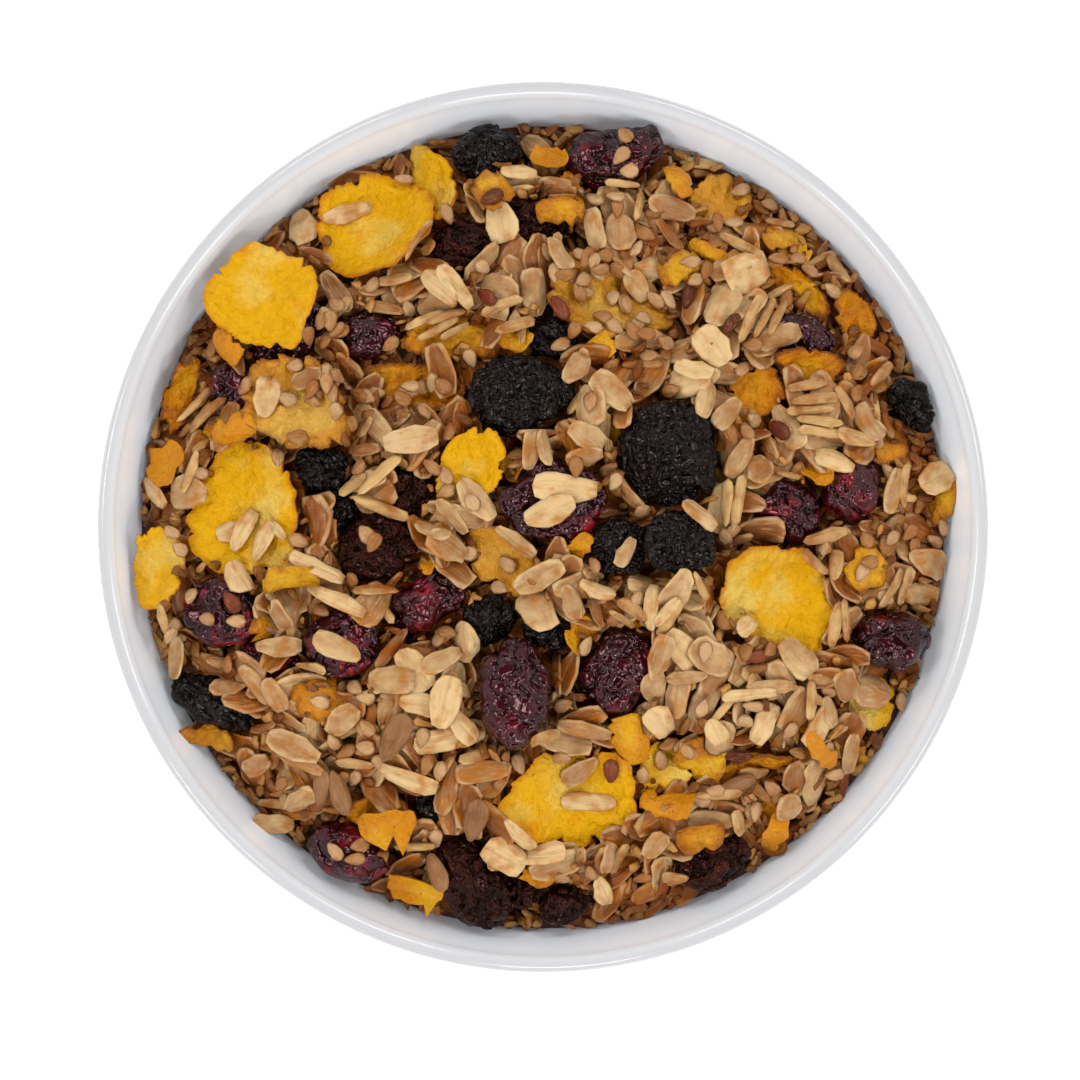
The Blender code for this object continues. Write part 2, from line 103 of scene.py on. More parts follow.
def core_top(x, y):
    """Height of the core: a dome of 1 - share**2.6, and rolls that fade at the wall.

    The rolls are sin(x / across) * cos(y / along), and lower ones on a slant.
    """
    share = np.minimum(1, np.hypot(x, y) / CORE_RADIUS)
    dome = CORE_EDGE + (CORE_CROWN - CORE_EDGE) * (1 - share**CORE_FULLNESS)
    across, along, diagonal = ROLL_LENGTHS
    rolls = np.sin(x / across + 0.6) * np.cos(y / along)
    rolls = rolls + 0.6 * np.sin((x + 1.7 * y) / diagonal + 2.0)
    return dome + ROLL * rolls * (1 - share**4)


print(f"the core is {2000 * CORE_RADIUS:.1f} mm across")

# %% [markdown]
# ## From arrays to meshes
#
# Nearly everything here is a closed skin: rings of corners, one after another,
# and a single corner at each end. A shape is then a function of two numbers, the
# place along it and the place round it, worked out for all corners at once. One
# helper numbers the faces, and another writes many such skins into one mesh.
# That is much faster than adding faces one by one, and keeps each kind of grain
# a single object.

# %% Closed skins
def skin_faces(rings, columns):
    """Corner numbers of a closed skin's quads and end triangles.

    Its corners are numbered first end, ring after ring, last end.
    """
    ring = 1 + np.arange(rings * columns).reshape(rings, columns)
    following = np.roll(ring, -1, axis=1)
    quads = np.stack([ring[:-1], following[:-1], following[1:], ring[1:]], -1).reshape(-1, 4)
    ends = np.zeros(columns, int), np.full(columns, rings * columns + 1)
    first = np.stack([ends[0], following[0], ring[0]], -1)
    last = np.stack([ends[1], ring[-1], following[-1]], -1)
    return quads, np.concatenate([first, last])


def closed(grid):
    """The corners of a closed skin, from a grid whose first and last rows are single points."""
    shape = grid.shape
    inner = grid[:, 1:-1].reshape(shape[0], -1, *shape[3:])
    return np.concatenate([grid[:, 0, :1], inner, grid[:, -1, :1]], axis=1)


def outward(corners, faces):
    """The faces, turned over if the skin's volume comes out negative."""
    triangles = corners[faces[1]]
    fans = corners[faces[0]]
    parts = [triangles, fans[:, (0, 1, 2)], fans[:, (0, 2, 3)]]
    volume = sum(np.einsum("ij,ij->", p[:, 0], np.cross(p[:, 1], p[:, 2])) for p in parts)
    return faces if volume > 0 else tuple(face[:, ::-1] for face in faces)


def add_mesh(name, corners, faces, values):
    """An object with these corners and faces, and an attribute for each named array of values."""
    mesh = bpy.data.meshes.new(name)
    mesh.vertices.add(len(corners))
    mesh.vertices.foreach_set("co", corners.astype(np.float32).ravel())
    sizes = np.concatenate([np.full(len(face), face.shape[1]) for face in faces])
    loops = np.concatenate([face.ravel() for face in faces])
    mesh.loops.add(len(loops))
    mesh.loops.foreach_set("vertex_index", loops.astype(np.int32))
    mesh.polygons.add(len(sizes))
    mesh.polygons.foreach_set("loop_start", (np.cumsum(sizes) - sizes).astype(np.int32))
    mesh.polygons.foreach_set("use_smooth", np.ones(len(sizes), bool))
    mesh.update(calc_edges=True)
    for label, value in values.items():
        kind, key = ("FLOAT", "value") if value.ndim == 1 else ("FLOAT_VECTOR", "vector")
        attribute = mesh.attributes.new(label, kind, "POINT")
        attribute.data.foreach_set(key, value.astype(np.float32).ravel())
    made = bpy.data.objects.new(name, mesh)
    bpy.context.scene.collection.objects.link(made)
    return made


def add_skins(name, grids, **values):
    """One object of many closed skins; grids is (skins, rows, columns, 3)."""
    count, rows, columns = grids.shape[:3]
    corners = closed(grids)
    faces = outward(corners[0] - corners[0].mean(0), skin_faces(rows - 2, columns))
    starts = np.arange(count)[:, None, None] * corners.shape[1]
    faces = [(face[None] + starts).reshape(-1, face.shape[1]) for face in faces]
    values = {
        label: closed(value).reshape(-1, *value.shape[3:]) for label, value in values.items()
    }
    made = add_mesh(name, corners.reshape(-1, 3), faces, values)
    triangles = 2 * len(faces[0]) + len(faces[1])
    print(f"{name}: {count} of them, {triangles} triangles")
    return made


# %% [markdown]
# ## Uneven surfaces
#
# Nothing in this bowl is smooth. The simplest noise that works on whole arrays
# is a sum of sine waves in random directions: it has no seams and no grid, and
# the same seed always gives the same waves. A crease is where that noise passes
# through zero, which makes the long, joined wrinkles of dried fruit.

# %% Waves and creases
WAVES = 9


def ripple(places, length, seed, octaves=2):
    """Smooth random heights of about -1 to 1.

    The sum of sin(w . place + phase) over nine random directions w, whose
    wavelength is `length`, and again at half of the length and height.
    """
    draw = np.random.default_rng(seed)
    total = np.zeros(places.shape[:-1])
    for octave in range(octaves):
        waves = draw.normal(size=(WAVES, 3))
        waves *= math.tau * 2**octave / length / np.linalg.norm(waves, axis=1, keepdims=True)
        phases = draw.uniform(0, math.tau, WAVES)
        total += np.sin(places @ waves.T + phases).sum(-1) / 2**octave
    return total / math.sqrt(WAVES)


def creases(places, length, width, seed):
    """0 in a crease and 1 on the smooth skin between creases: 1 - exp(-(ripple / width)**2)."""
    return 1 - np.exp(-((ripple(places, length, seed) / width) ** 2))


def smooth_step(value, low, high):
    """0 below low, 1 above high, and the cubic 3 t**2 - 2 t**3 between them."""
    t = np.clip((value - low) / (high - low), 0, 1)
    return t * t * (3 - 2 * t)


# %% [markdown]
# ## Shader sums as Python sums
#
# A material is a small network of nodes. Written with the operators below, the
# sum `1 - 0.5 * mask` adds the Math nodes that work it out, so a finish reads
# like the formula that it is. Colours are mixed with Mix nodes, because a Math
# node would turn them grey.

# %% Colours, and sums of signals
def paint(red, green, blue):
    """The linear colour that a shader takes, from a screen colour of 0 to 255 a channel."""
    screen = np.array([red, green, blue]) / 255
    linear = np.where(screen < 0.04045, screen / 12.92, ((screen + 0.055) / 1.055) ** 2.4)
    return (*linear.tolist(), 1.0)


class Signal:
    """An output of a shader node. Sums and products of signals add Math nodes."""

    def __init__(self, finish, output):
        self.finish = finish
        self.output = output

    def worked_out(self, operation, first, second=0.0):
        return self.finish.add("Math", {"operation": operation}, {0: first, 1: second})

    def __add__(self, other):
        return self.worked_out("ADD", self, other)

    def __sub__(self, other):
        return self.worked_out("SUBTRACT", self, other)

    def __rsub__(self, other):
        return self.worked_out("SUBTRACT", other, self)

    def __mul__(self, other):
        return self.worked_out("MULTIPLY", self, other)

    def __pow__(self, other):
        return self.worked_out("POWER", self, other)

    def __abs__(self):
        return self.worked_out("ABSOLUTE", self)

    __radd__ = __add__
    __rmul__ = __mul__


# %% A material, node by node
class Finish:
    """A material with one Principled shader, whose constants are named as its sockets are."""

    def __init__(self, name, **constants):
        self.material = bpy.data.materials.new(name)
        self.material.use_nodes = True
        self.tree = self.material.node_tree
        self.shader = self.tree.nodes["Principled BSDF"]
        for label, value in constants.items():
            socket = label.replace("_", " ").title().replace("Ior", "IOR")
            self.shader.inputs[socket].default_value = value

    def add(self, kind, settings=None, sockets=None, output=0):
        """Adds a node: its settings first, then the values or links of its sockets."""
        node = self.tree.nodes.new("ShaderNode" + kind)
        for name, value in (settings or {}).items():
            setattr(node, name, value)
        for key, value in (sockets or {}).items():
            self.feed(node.inputs[key], value)
        return Signal(self, node.outputs[output])

    def feed(self, socket, value):
        if isinstance(value, Signal):
            self.tree.links.new(value.output, socket)
        else:
            socket.default_value = value

    def place(self):
        """The place on the object, in metres."""
        return self.add("TexCoord", output=3)

    def noise(self, size, detail=3.0, rough=0.55, where=None):
        """Cloudy noise of 0 to 1, with lumps of that size."""
        sockets = {"Scale": 1 / size, "Detail": detail, "Roughness": rough}
        return self.add("TexNoise", {}, {"Vector": where or self.place(), **sockets})

    def cells(self, size):
        """Distance from the nearest of many scattered points, 0 at the point."""
        return self.add("TexVoronoi", {}, {"Vector": self.place(), "Scale": 1 / size})

    def value(self, label):
        """A number that the mesh carries at each corner."""
        return self.add("Attribute", {"attribute_name": label}, output=2)

    def vector(self, label):
        """The three numbers of a mesh's vector attribute, as separate signals."""
        carried = self.add("Attribute", {"attribute_name": label}, output=1)
        parts = self.add("SeparateXYZ", {}, {0: carried})
        return [Signal(self, parts.output.node.outputs[i]) for i in range(3)]

    def step(self, value, low, high):
        """0 below low and 1 above high, or the other way round if low is above high."""
        ends = {"Value": value, "From Min": min(low, high), "From Max": max(low, high)}
        flip = {"To Min": float(low > high), "To Max": float(low < high)}
        return self.add("MapRange", {"interpolation_type": "SMOOTHSTEP"}, {**ends, **flip})

    def mix(self, share, first, second):
        """The first colour where share is 0, the second where it is 1."""
        return self.add("Mix", {"data_type": "RGBA"}, {0: share, 6: first, 7: second}, 2)

    def tint(self, colour, amount):
        """The colour, made darker or lighter by a number."""
        grey = self.add("CombineColor", {}, {0: amount, 1: amount, 2: amount})
        settings = {"data_type": "RGBA", "blend_type": "MULTIPLY"}
        return self.add("Mix", settings, {0: 1.0, 6: colour, 7: grey}, 2)

    def wear(self, colour, roughness=None, relief=None, depth=0.0, strength=1.0):
        """Links what varies over the surface: its colour, its roughness, and a relief as a bump."""
        self.feed(self.shader.inputs["Base Color"], colour)
        if roughness is not None:
            self.feed(self.shader.inputs["Roughness"], roughness)
        if relief is not None:
            sockets = {"Height": relief, "Distance": depth, "Strength": strength}
            self.feed(self.shader.inputs["Normal"], self.add("Bump", {}, sockets))


def dress(piece, finish, slot, *nodes):
    """Gives a piece its material and the solids that it stands for. The slot is not used."""
    piece.data.materials.append(finish.material)
    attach(piece, "root")
    if nodes:
        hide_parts(*nodes)
    print(f"{piece.name}: {finish.material.name}, of {len(finish.tree.nodes)} shader nodes")


# %% [markdown]
# ## The camera
#
# The view is from straight above, a little off the bowl's middle. A camera that
# is 480 mm above the rim with a long lens takes in 157 mm at the height of the
# rim. Places in the picture are read back with the same two numbers: the higher
# a thing lies, the nearer it is to the lens, and the larger a pixel of it.

# %% Camera, and places read from the picture
PIXEL = MM / 6.87
BOWL_PIXEL = (543, 527)
PICTURE = 1080
EYE = 480 * MM
SENSOR = 36.0

camera_data = bpy.data.cameras.new("camera")
camera_data.sensor_width = SENSOR
camera_data.lens = SENSOR * EYE / (PICTURE * PIXEL)
camera = bpy.data.objects.new("camera", camera_data)
camera.location = (
    (PICTURE / 2 - BOWL_PIXEL[0]) * PIXEL,
    (BOWL_PIXEL[1] - PICTURE / 2) * PIXEL,
    RIM_HEIGHT + EYE,
)
bpy.context.scene.collection.objects.link(camera)
bpy.context.scene.camera = camera


def place_of(pixel, height):
    """(x, y) of what shows at a pixel, if it is at that height."""
    scale = PIXEL * (1 - (height - RIM_HEIGHT) / EYE)
    return (pixel[0] - BOWL_PIXEL[0]) * scale, (BOWL_PIXEL[1] - pixel[1]) * scale


print(f"a lens of {camera_data.lens:.0f} mm, {1000 * camera.location.z:.0f} mm above the table")

# %% [markdown]
# ## The bowl
#
# A potter would throw this bowl and fire it with a clear glaze. Here the profile
# of 135 points goes up the inside, over the round lip and down to the foot, and
# is carried round in 192 steps. A Screw modifier would do the same; worked out
# as an array it is a closed skin like all the rest, with its two ends at the
# middle of the floor and of the hollow under the foot.

# %% Turning the bowl
BOWL_COLUMNS = 192
WALL_ROWS = 56
LIP_ROWS = 15
FADE_ROWS = 3  # rows of the lip over which the finish of the inside fades out


def bowl_profile():
    """(radius, height) of the profile, from the middle of the floor to the middle underneath.

    Near the lip the wall's rows are close together: heights follow a quarter of a cosine.
    """
    quarter = np.linspace(0, math.pi / 2, WALL_ROWS)
    inside = FLOOR + (WALL_TOP - FLOOR) * np.sin(quarter)
    half_turn = np.linspace(math.pi, 0, LIP_ROWS)[1:-1]
    outside = FOOT_TOP + (WALL_TOP - FOOT_TOP) * np.cos(quarter)
    ring = FOOT_RADIUS - FOOT_WIDTH
    foot = [
        (FOOT_RADIUS + FOOT_EDGE, FOOT_TOP),
        (FOOT_RADIUS + FOOT_EDGE / 3, 3 * FOOT_EDGE),
        (FOOT_RADIUS, FOOT_EDGE),
        (FOOT_RADIUS - FOOT_EDGE / 3, FOOT_EDGE / 3),
        (FOOT_RADIUS - FOOT_EDGE, 0),
        (ring + FOOT_EDGE / 2, 0),
        (ring, FOOT_EDGE / 2),
        (ring - FOOT_EDGE / 2, RECESS - FOOT_EDGE),
        (ring - 2 * FOOT_EDGE, RECESS),
        (ring / 2, RECESS),
        (0, RECESS),
    ]
    belly = wall_radius(outside, RIM_RADIUS, BELLY, OUTER_ROUND)
    keep = belly > FOOT_RADIUS + 2 * FOOT_EDGE
    lip_radius = RIM_RADIUS - LIP / 2 * (1 - np.cos(half_turn))
    lip = np.stack([lip_radius, WALL_TOP + LIP / 2 * np.sin(half_turn)], -1)
    wall = np.stack([wall_radius(inside), inside], -1)
    return np.concatenate([wall, lip, np.stack([belly, outside], -1)[keep], foot])


def on_circle(radius, angle, height=0.0):
    """The points (radius cos(angle), radius sin(angle), height)."""
    x = radius * np.cos(angle)
    return np.stack([x, radius * np.sin(angle), height + 0 * x], -1)


def turned(profile, columns):
    """The grid of a turned shape: each point of the profile, carried round the axis."""
    angle = np.linspace(0, math.tau, columns, endpoint=False)
    return on_circle(profile[:, :1], angle, profile[:, 1:])[None]


profile = bowl_profile()
past_wall = np.maximum(0, np.arange(len(profile)) - (WALL_ROWS - 1))
in_bowl = np.exp(-past_wall / FADE_ROWS)[None, :, None] * np.ones((1, 1, BOWL_COLUMNS))
bowl = add_skins("porcelain_bowl", turned(profile, BOWL_COLUMNS), inside=in_bowl)
print(f"a profile of {len(profile)} points")

# %% [markdown]
# ## Glaze
#
# Porcelain is white with a trace of grey, under a clear glass glaze. The glaze
# is never quite even: it runs into faint waves that bend the reflections of the
# lamps. The foot ring is wiped bare before firing, so it is matt and creamier.
# The inside is painted whiter towards the rim, and the outside a darker grey than
# the inside: painted light and painted shade on the same porcelain. Near the rim
# the inside also has a faint glow, painted light from an emission that is no lamp.

# %% Glaze of the bowl
BARE = 0.5 * MM  # height up to which the foot has no glaze
PAINTED_GLOW_DEPTH = 20 * MM  # depth below the rim over which the inside has a painted glow
PAINTED_GLOW_FULL = 1 * MM  # depth over which the painted glow is brightest
PAINTED_LIGHT_DEPTH = 10 * MM  # depth over which the inside is painted whiter, as painted light

glaze = Finish("bowl_glaze", emission_strength=0.15)
height = glaze.add("SeparateXYZ", {}, {0: glaze.place()}, 2)
bare = glaze.step(height, BARE, 0.4 * BARE)
cloud = glaze.noise(22 * MM, detail=2.0)
# The outside is a darker grey than the inside: painted shade on the same porcelain.
white = glaze.mix(cloud, paint(186, 185, 187), paint(191, 190, 192))
# The inside is painted whiter towards the rim: painted light.
painted_light_near_rim = glaze.step(height, WALL_TOP - PAINTED_LIGHT_DEPTH, WALL_TOP)
inside_with_painted_light = glaze.mix(painted_light_near_rim, paint(233, 240, 248), paint(246, 250, 255))
white = glaze.mix(glaze.value("inside"), white, inside_with_painted_light)
# A faint glow on the inside below the rim: painted light, an emission that is no lamp.
thin = glaze.step(height, WALL_TOP - PAINTED_GLOW_DEPTH, WALL_TOP - PAINTED_GLOW_FULL) * glaze.value("inside")
glow = glaze.mix(thin, paint(0, 0, 0), paint(244, 249, 255))
glaze.feed(glaze.shader.inputs["Emission Color"], glow)
glaze.wear(
    colour=glaze.mix(bare, white, paint(205, 196, 180)),
    roughness=0.1 + 0.06 * cloud + 0.5 * bare,
    relief=glaze.noise(9 * MM, detail=1.0),
    depth=0.25 * MM,
    strength=0.12,
)
dress(bowl, glaze, "bowl_glaze", "bowl")

# %% [markdown]
# ## Reading the measured solids
#
# The measured model has each fruit and flake as a plain solid of about a hundred
# flat faces. Their places and sizes are right, so their skins are worked out
# from them. A ray is sent through the solid in each of many directions, and the
# distances are fitted with a smooth polynomial. Seeds that are part of the
# solid's surface stand out from the fit, and are left out of a second one.

# %% Rays
PARALLEL = 1e-15  # a smaller product means that the ray runs along the triangle
SLACK = 1e-9  # a ray through an edge counts as inside


def triangles_of(node):
    """The corners of a solid's triangles, as (triangles, 3, 3)."""
    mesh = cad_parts[node].data
    mesh.calc_loop_triangles()
    corners = np.empty(3 * len(mesh.vertices), np.float32)
    mesh.vertices.foreach_get("co", corners)
    faces = np.empty(3 * len(mesh.loop_triangles), np.int32)
    mesh.loop_triangles.foreach_get("vertices", faces)
    return corners.reshape(-1, 3)[faces].reshape(-1, 3, 3).astype(float)


def nearest_hits(starts, directions, triangles):
    """Distance along each ray to the first triangle that it meets, or inf.

    A ray start + t * direction crosses a triangle where the two side weights
    u and v are at least 0 and u + v is at most 1.
    """
    first, second = triangles[:, 1] - triangles[:, 0], triangles[:, 2] - triangles[:, 0]
    across = np.cross(directions[:, None], second[None])
    scale = np.einsum("rtc,tc->rt", across, first)
    scale = np.where(np.abs(scale) < PARALLEL, np.nan, scale)
    to_start = starts[:, None] - triangles[None, :, 0]
    turned_start = np.cross(to_start, first[None])
    u = np.einsum("rtc,rtc->rt", to_start, across) / scale
    v = np.einsum("rtc,rc->rt", turned_start, directions) / scale
    t = np.einsum("rtc,tc->rt", turned_start, second) / scale
    hit = (u >= -SLACK) & (v >= -SLACK) & (u + v <= 1 + SLACK) & (t > 0)
    return np.where(hit, t, np.inf).min(axis=1)


# %% Smooth fits
def powers(places, degree):
    """Every product of powers of the coordinates up to that degree, as columns."""
    axes = places.shape[-1]
    exponents = np.stack(np.meshgrid(*[np.arange(degree + 1)] * axes, indexing="ij"), -1)
    exponents = exponents.reshape(-1, axes)
    exponents = exponents[exponents.sum(1) <= degree]
    return np.prod(places[..., None, :] ** exponents, axis=-1)


def fitted(columns, values, tolerance):
    """Least-squares weights of the columns, fitted again without what stands out of the first fit."""
    weights = np.linalg.lstsq(columns, values, rcond=None)[0]
    near = np.abs(columns @ weights - values) < tolerance
    return np.linalg.lstsq(columns[near], values[near], rcond=None)[0]


def main_axes(points):
    """The middle of some points, and their long, wide and thin directions as rows, thin one up."""
    middle = points.mean(0)
    axes = np.linalg.eigh(np.cov((points - middle).T))[1].T[::-1]
    axes = axes * np.where(axes[np.arange(3), np.abs(axes).argmax(1)] < 0, -1, 1)[:, None]
    thin = axes[2] if axes[2][2] > 0 else -axes[2]
    return middle, np.stack([axes[0], np.cross(thin, axes[0]), thin])


# %% Where to look from
GOLDEN_ANGLE = math.pi * (3 - math.sqrt(5))  # turn by turn, it spreads points evenly


def balance_point(triangles):
    """The middle of a solid's volume: the sum over its faces of the cones that they make with a point."""
    tip = triangles.mean((0, 1))
    first, second, third = (triangles[:, i] - tip for i in range(3))
    volumes = np.einsum("ij,ij->i", first, np.cross(second, third))
    return tip + (volumes[:, None] * (first + second + third)).sum(0) / 4 / volumes.sum()


def even_directions(count):
    """Directions spread evenly over a sphere, along a spiral from pole to pole."""
    height = 1 - 2 * (np.arange(count) + 0.5) / count
    return on_circle(np.sqrt(1 - height**2), np.arange(count) * GOLDEN_ANGLE, height)


# %% [markdown]
# ## Dried fruit
#
# A grape or cranberry shrinks as it dries while its skin does not, so the skin
# folds. The folds run along the fruit, from the stem end to the tip. Each skin
# here is a ball stretched to the fruit's size, with the radius that the rays
# found and two sizes of crease pressed into it. The mesh carries how deep each
# corner lies in a crease, so that the finish can paint shade there, darker in the
# creases, and lighter colour on the ridges.

# %% Bodies of the fruit
FIT_RAYS = 700
FIT_DEGREE = 4
SEED_STANDS_OUT = 0.12  # share of the radius


def body_of(node):
    """A solid's middle, axes, half sizes, and the weights of its radius over all directions.

    Along a direction d the skin is at middle + (radius(d) * d * half sizes) on the axes.
    """
    triangles = triangles_of(node)
    directions = even_directions(FIT_RAYS)
    middle = balance_point(triangles)
    starts = np.broadcast_to(middle, directions.shape)
    reach = nearest_hits(starts, directions, triangles)
    hits = (middle + directions * reach[:, None])[np.isfinite(reach)]
    middle, axes = main_axes(hits)
    half = np.abs((hits - middle) @ axes.T).max(0)
    ball = (hits - middle) @ axes.T / half
    radius = np.linalg.norm(ball, axis=1)
    weights = fitted(powers(ball / radius[:, None], FIT_DEGREE), radius, SEED_STANDS_OUT)
    return middle, axes, half, weights


def hidden_body(x, y, degrees, *half):
    """The same for a fruit of which the picture shows a corner: a stretched ball low in the heap.

    It is given by its pixel, its turn and its half sizes in mm, and its radius is 1 all over.
    """
    turn, half = math.radians(degrees), np.array(half) * MM
    place = place_of((x, y), RIM_HEIGHT)
    middle = np.array([*place, core_top(*place) + half[2]])
    along = math.cos(turn), math.sin(turn), 0
    weights = np.zeros(len(powers(np.zeros((1, 3)), FIT_DEGREE)[0]))
    weights[0] = 1
    return middle, np.array([along, (-along[1], along[0], 0), (0, 0, 1)]), half, weights


# %% Wrinkled skins
FRUIT_ROWS = 70
FRUIT_COLUMNS = 90
LENGTHWISE = 0.5  # creases are longer along the fruit by one over this
WANDER = 0.8 * MM  # how far the creases stray from straight lines
WANDER_LENGTH = 6 * MM
SWELL_LENGTH = 8 * MM
WIDE_SHARE = 0.65  # of the mark that the mesh carries, the share of the wide creases

# For each kind: length, width and depth of its wide and of its fine creases, and its swelling.
CREASES = {
    "cranberry": ((9.0 * MM, 0.22, 0.7 * MM), (4.0 * MM, 0.3, 0.12 * MM), 0.35 * MM),
    "black_raisin": ((3.8 * MM, 0.32, 0.65 * MM), (1.7 * MM, 0.5, 0.32 * MM), 0.45 * MM),
    "raisin": ((5.0 * MM, 0.40, 0.85 * MM), (1.8 * MM, 0.5, 0.22 * MM), 0.35 * MM),
}


def ball_directions(rows, columns):
    """Directions from the tip (+X) to the stem end (-X), and round the long axis."""
    along = np.linspace(0, math.pi, rows)[:, None]
    around = np.linspace(0, math.tau, columns, endpoint=False)
    flat = np.sin(along)
    return np.stack([np.cos(along) + 0 * around, flat * np.cos(around), flat * np.sin(around)], -1)


def fruit_skin(body, kind, seed):
    """The corners of a wrinkled skin, and how far each lies out of the creases, 0 to 1."""
    middle, axes, half, weights = body
    (wide_length, wide_width, wide_depth), (fine_length, fine_width, fine_depth), swell = CREASES[kind]
    directions = ball_directions(FRUIT_ROWS, FRUIT_COLUMNS)
    radius = powers(directions, FIT_DEGREE) @ weights
    ball = directions * radius[..., None] * half
    stretched = ball * (LENGTHWISE, 1, 1)
    bent = stretched + WANDER * ripple(ball, WANDER_LENGTH, seed + 1)[..., None]
    wide = creases(bent, wide_length, wide_width, seed + 2)
    fine = creases(bent, fine_length, fine_width, seed + 3)
    # Creases meet at the two ends and are shallow there, so that the ends close.
    ends = smooth_step(np.abs(directions[..., 0]), 1.0, 0.9)
    relief = wide_depth * (wide - 1) + fine_depth * (fine - 1)
    relief = relief * (0.3 + 0.7 * ends) + swell * ripple(ball, SWELL_LENGTH, seed + 4) * ends
    facing = directions / half
    facing /= np.linalg.norm(facing, axis=-1, keepdims=True)
    ridge = WIDE_SHARE * wide + (1 - WIDE_SHARE) * fine
    return middle + (ball + facing * relief[..., None]) @ axes, ridge


# %% Making the fruit
def nodes_of(kind):
    """The names of all the solids of a kind, such as raisin_01 to raisin_07."""
    return sorted(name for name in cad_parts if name.rstrip("0123456789_") == kind)


def add_fruit(name, kind, first_seed, *hidden):
    """One object with the skins of all the fruit of a kind."""
    bodies = [body_of(node) for node in nodes_of(kind)] + [hidden_body(*row) for row in hidden]
    skins = [fruit_skin(body, kind, first_seed + 10 * number) for number, body in enumerate(bodies)]
    grids, ridges = (np.stack(part) for part in zip(*skins))
    return add_skins(name, grids, ridge=ridges)


cranberries = add_fruit("cranberries", "cranberry", 1000, (268, 660, -20, 4.4, 2.7, 2.0))
black_raisins = add_fruit(
    "black_raisins", "black_raisin", 2000, (341, 502, 80, 3.2, 2.6, 1.9), (436, 804, 20, 3.6, 2.6, 1.8)
)
raisins = add_fruit("raisins", "raisin", 3000, (530, 888, 60, 4.2, 3.4, 1.9))

# %% [markdown]
# ## Finishes of the fruit
#
# Dried cranberries are glossy and nearly black, and glow dark red where the
# flesh is thin. Black raisins shine less, and a net of fine ridges covers them.
# Brown raisins are between the two. The finest wrinkles are too small for the
# mesh and are a bump, and the colour follows them: painted shade in their
# valleys, and on both kinds of raisin a lighter net of ridges, partly a dusty
# bloom and partly painted highlight.

# %% Fruit finishes
def fruit_finish(name, colours, glow_share, roughness, grain, folds, depth, shine):
    """The first colour in the creases, the second on the ridges, and the third in patches.

    The bump's folds lie where noise passes its middle. If the first number of `folds` is the
    smaller they are narrow valleys, painted darker as shade, and otherwise a net of narrow
    ridges, painted lighter, partly as a dusty bloom and partly as painted highlight. The first
    colour, in the creases, is painted shade as well. `shine` is how strongly the skin reflects,
    and the colour that it gives to the reflection.
    """
    finish = Finish(name, specular_ior_level=shine[0], specular_tint=paint(*shine[1:]))
    crease_shade, skin, glow = (paint(*colour) for colour in colours)
    ridge = finish.value("ridge")
    patch = finish.step(finish.noise(5 * MM, detail=3.0), 0.56 - glow_share, 0.80 - glow_share)
    patch = patch * finish.step(finish.noise(24 * MM, detail=0.0), 0.40, 0.56)
    wrinkle = finish.noise(grain, detail=2.0)
    ridged = finish.step(abs(wrinkle - 0.5), *folds)
    # Darker in the creases: painted shade.
    colour = finish.mix(finish.step(ridge, 0.2, 0.95), crease_shade, skin)
    colour = finish.mix(patch * finish.step(ridge, 0.3, 1.0), colour, glow)
    uneven = 0.16 * (finish.noise(3 * MM) - 0.5)
    # The folds of the bump tint the colour: painted shade in valleys, and on raisins lighter ridges, partly
    # bloom and partly painted highlight.
    finish.wear(
        colour=finish.tint(colour, 0.4 + 0.9 * ridged),
        roughness=roughness + uneven + 0.08 * (1 - ridge),
        relief=ridged + 0.12 * finish.noise(0.4 * MM),
        depth=depth,
    )
    return finish


# %% Three kinds of skin
cranberry_skin = fruit_finish(
    "cranberry_skin",
    ((20, 2, 4), (44, 7, 13), (132, 14, 28)),
    glow_share=0.08,
    roughness=0.08,
    grain=3.4 * MM,
    folds=(0.0, 0.12),
    depth=0.26 * MM,
    shine=(0.5, 255, 205, 208),
)
black_raisin_skin = fruit_finish(
    "black_raisin_skin",
    ((1, 1, 1), (6, 4, 4), (16, 11, 9)),
    glow_share=0.05,
    roughness=0.15,
    grain=1.5 * MM,
    folds=(0.08, 0.0),
    depth=0.34 * MM,
    shine=(0.3, 255, 232, 222),
)
raisin_skin = fruit_finish(
    "raisin_skin",
    ((14, 3, 1), (42, 11, 5), (80, 28, 12)),
    glow_share=0.08,
    roughness=0.1,
    grain=1.7 * MM,
    folds=(0.1, 0.0),
    depth=0.3 * MM,
    shine=(0.24, 255, 190, 170),
)
dress(cranberries, cranberry_skin, "cranberry", *nodes_of("cranberry"))
dress(black_raisins, black_raisin_skin, "black_raisin", *nodes_of("black_raisin"))
dress(raisins, raisin_skin, "raisin", *nodes_of("raisin"))

# %% [markdown]
# ## Corn flakes
#
# A corn flake is a grain of corn, rolled flat and toasted. It cups as it dries,
# blisters in the oven, and its edge is crumbly. Each flake is a disc given by
# its distance from the middle and its angle. The outline and the cupped middle
# sheet come from the measured solid, by rays in its own plane and through it.
# Teeth, a few notches and two sizes of blister are added to them.

# %% Outline and sheet of a flake
SOLID_THICKNESS = 1.1 * MM  # of the measured flakes
OUTLINE_WAVES = 6
OUTLINE_RAYS = 96
OUTLINE_STANDS_OUT = 1.5 * MM
FIT_RINGS = 12
RING_SHARES = (0.1, 0.93)  # of the way to the outline, the innermost and outermost ring of rays
SHEET_STANDS_OUT = 0.6 * MM
BELOW = -20 * MM  # where the rays through the flake start


def circle_waves(angle):
    """1, and the cosines and sines of 1 to 6 times the angle, as columns."""
    turns = angle[..., None] * np.arange(1, OUTLINE_WAVES + 1)
    return np.concatenate([np.ones((*angle.shape, 1)), np.cos(turns), np.sin(turns)], -1)


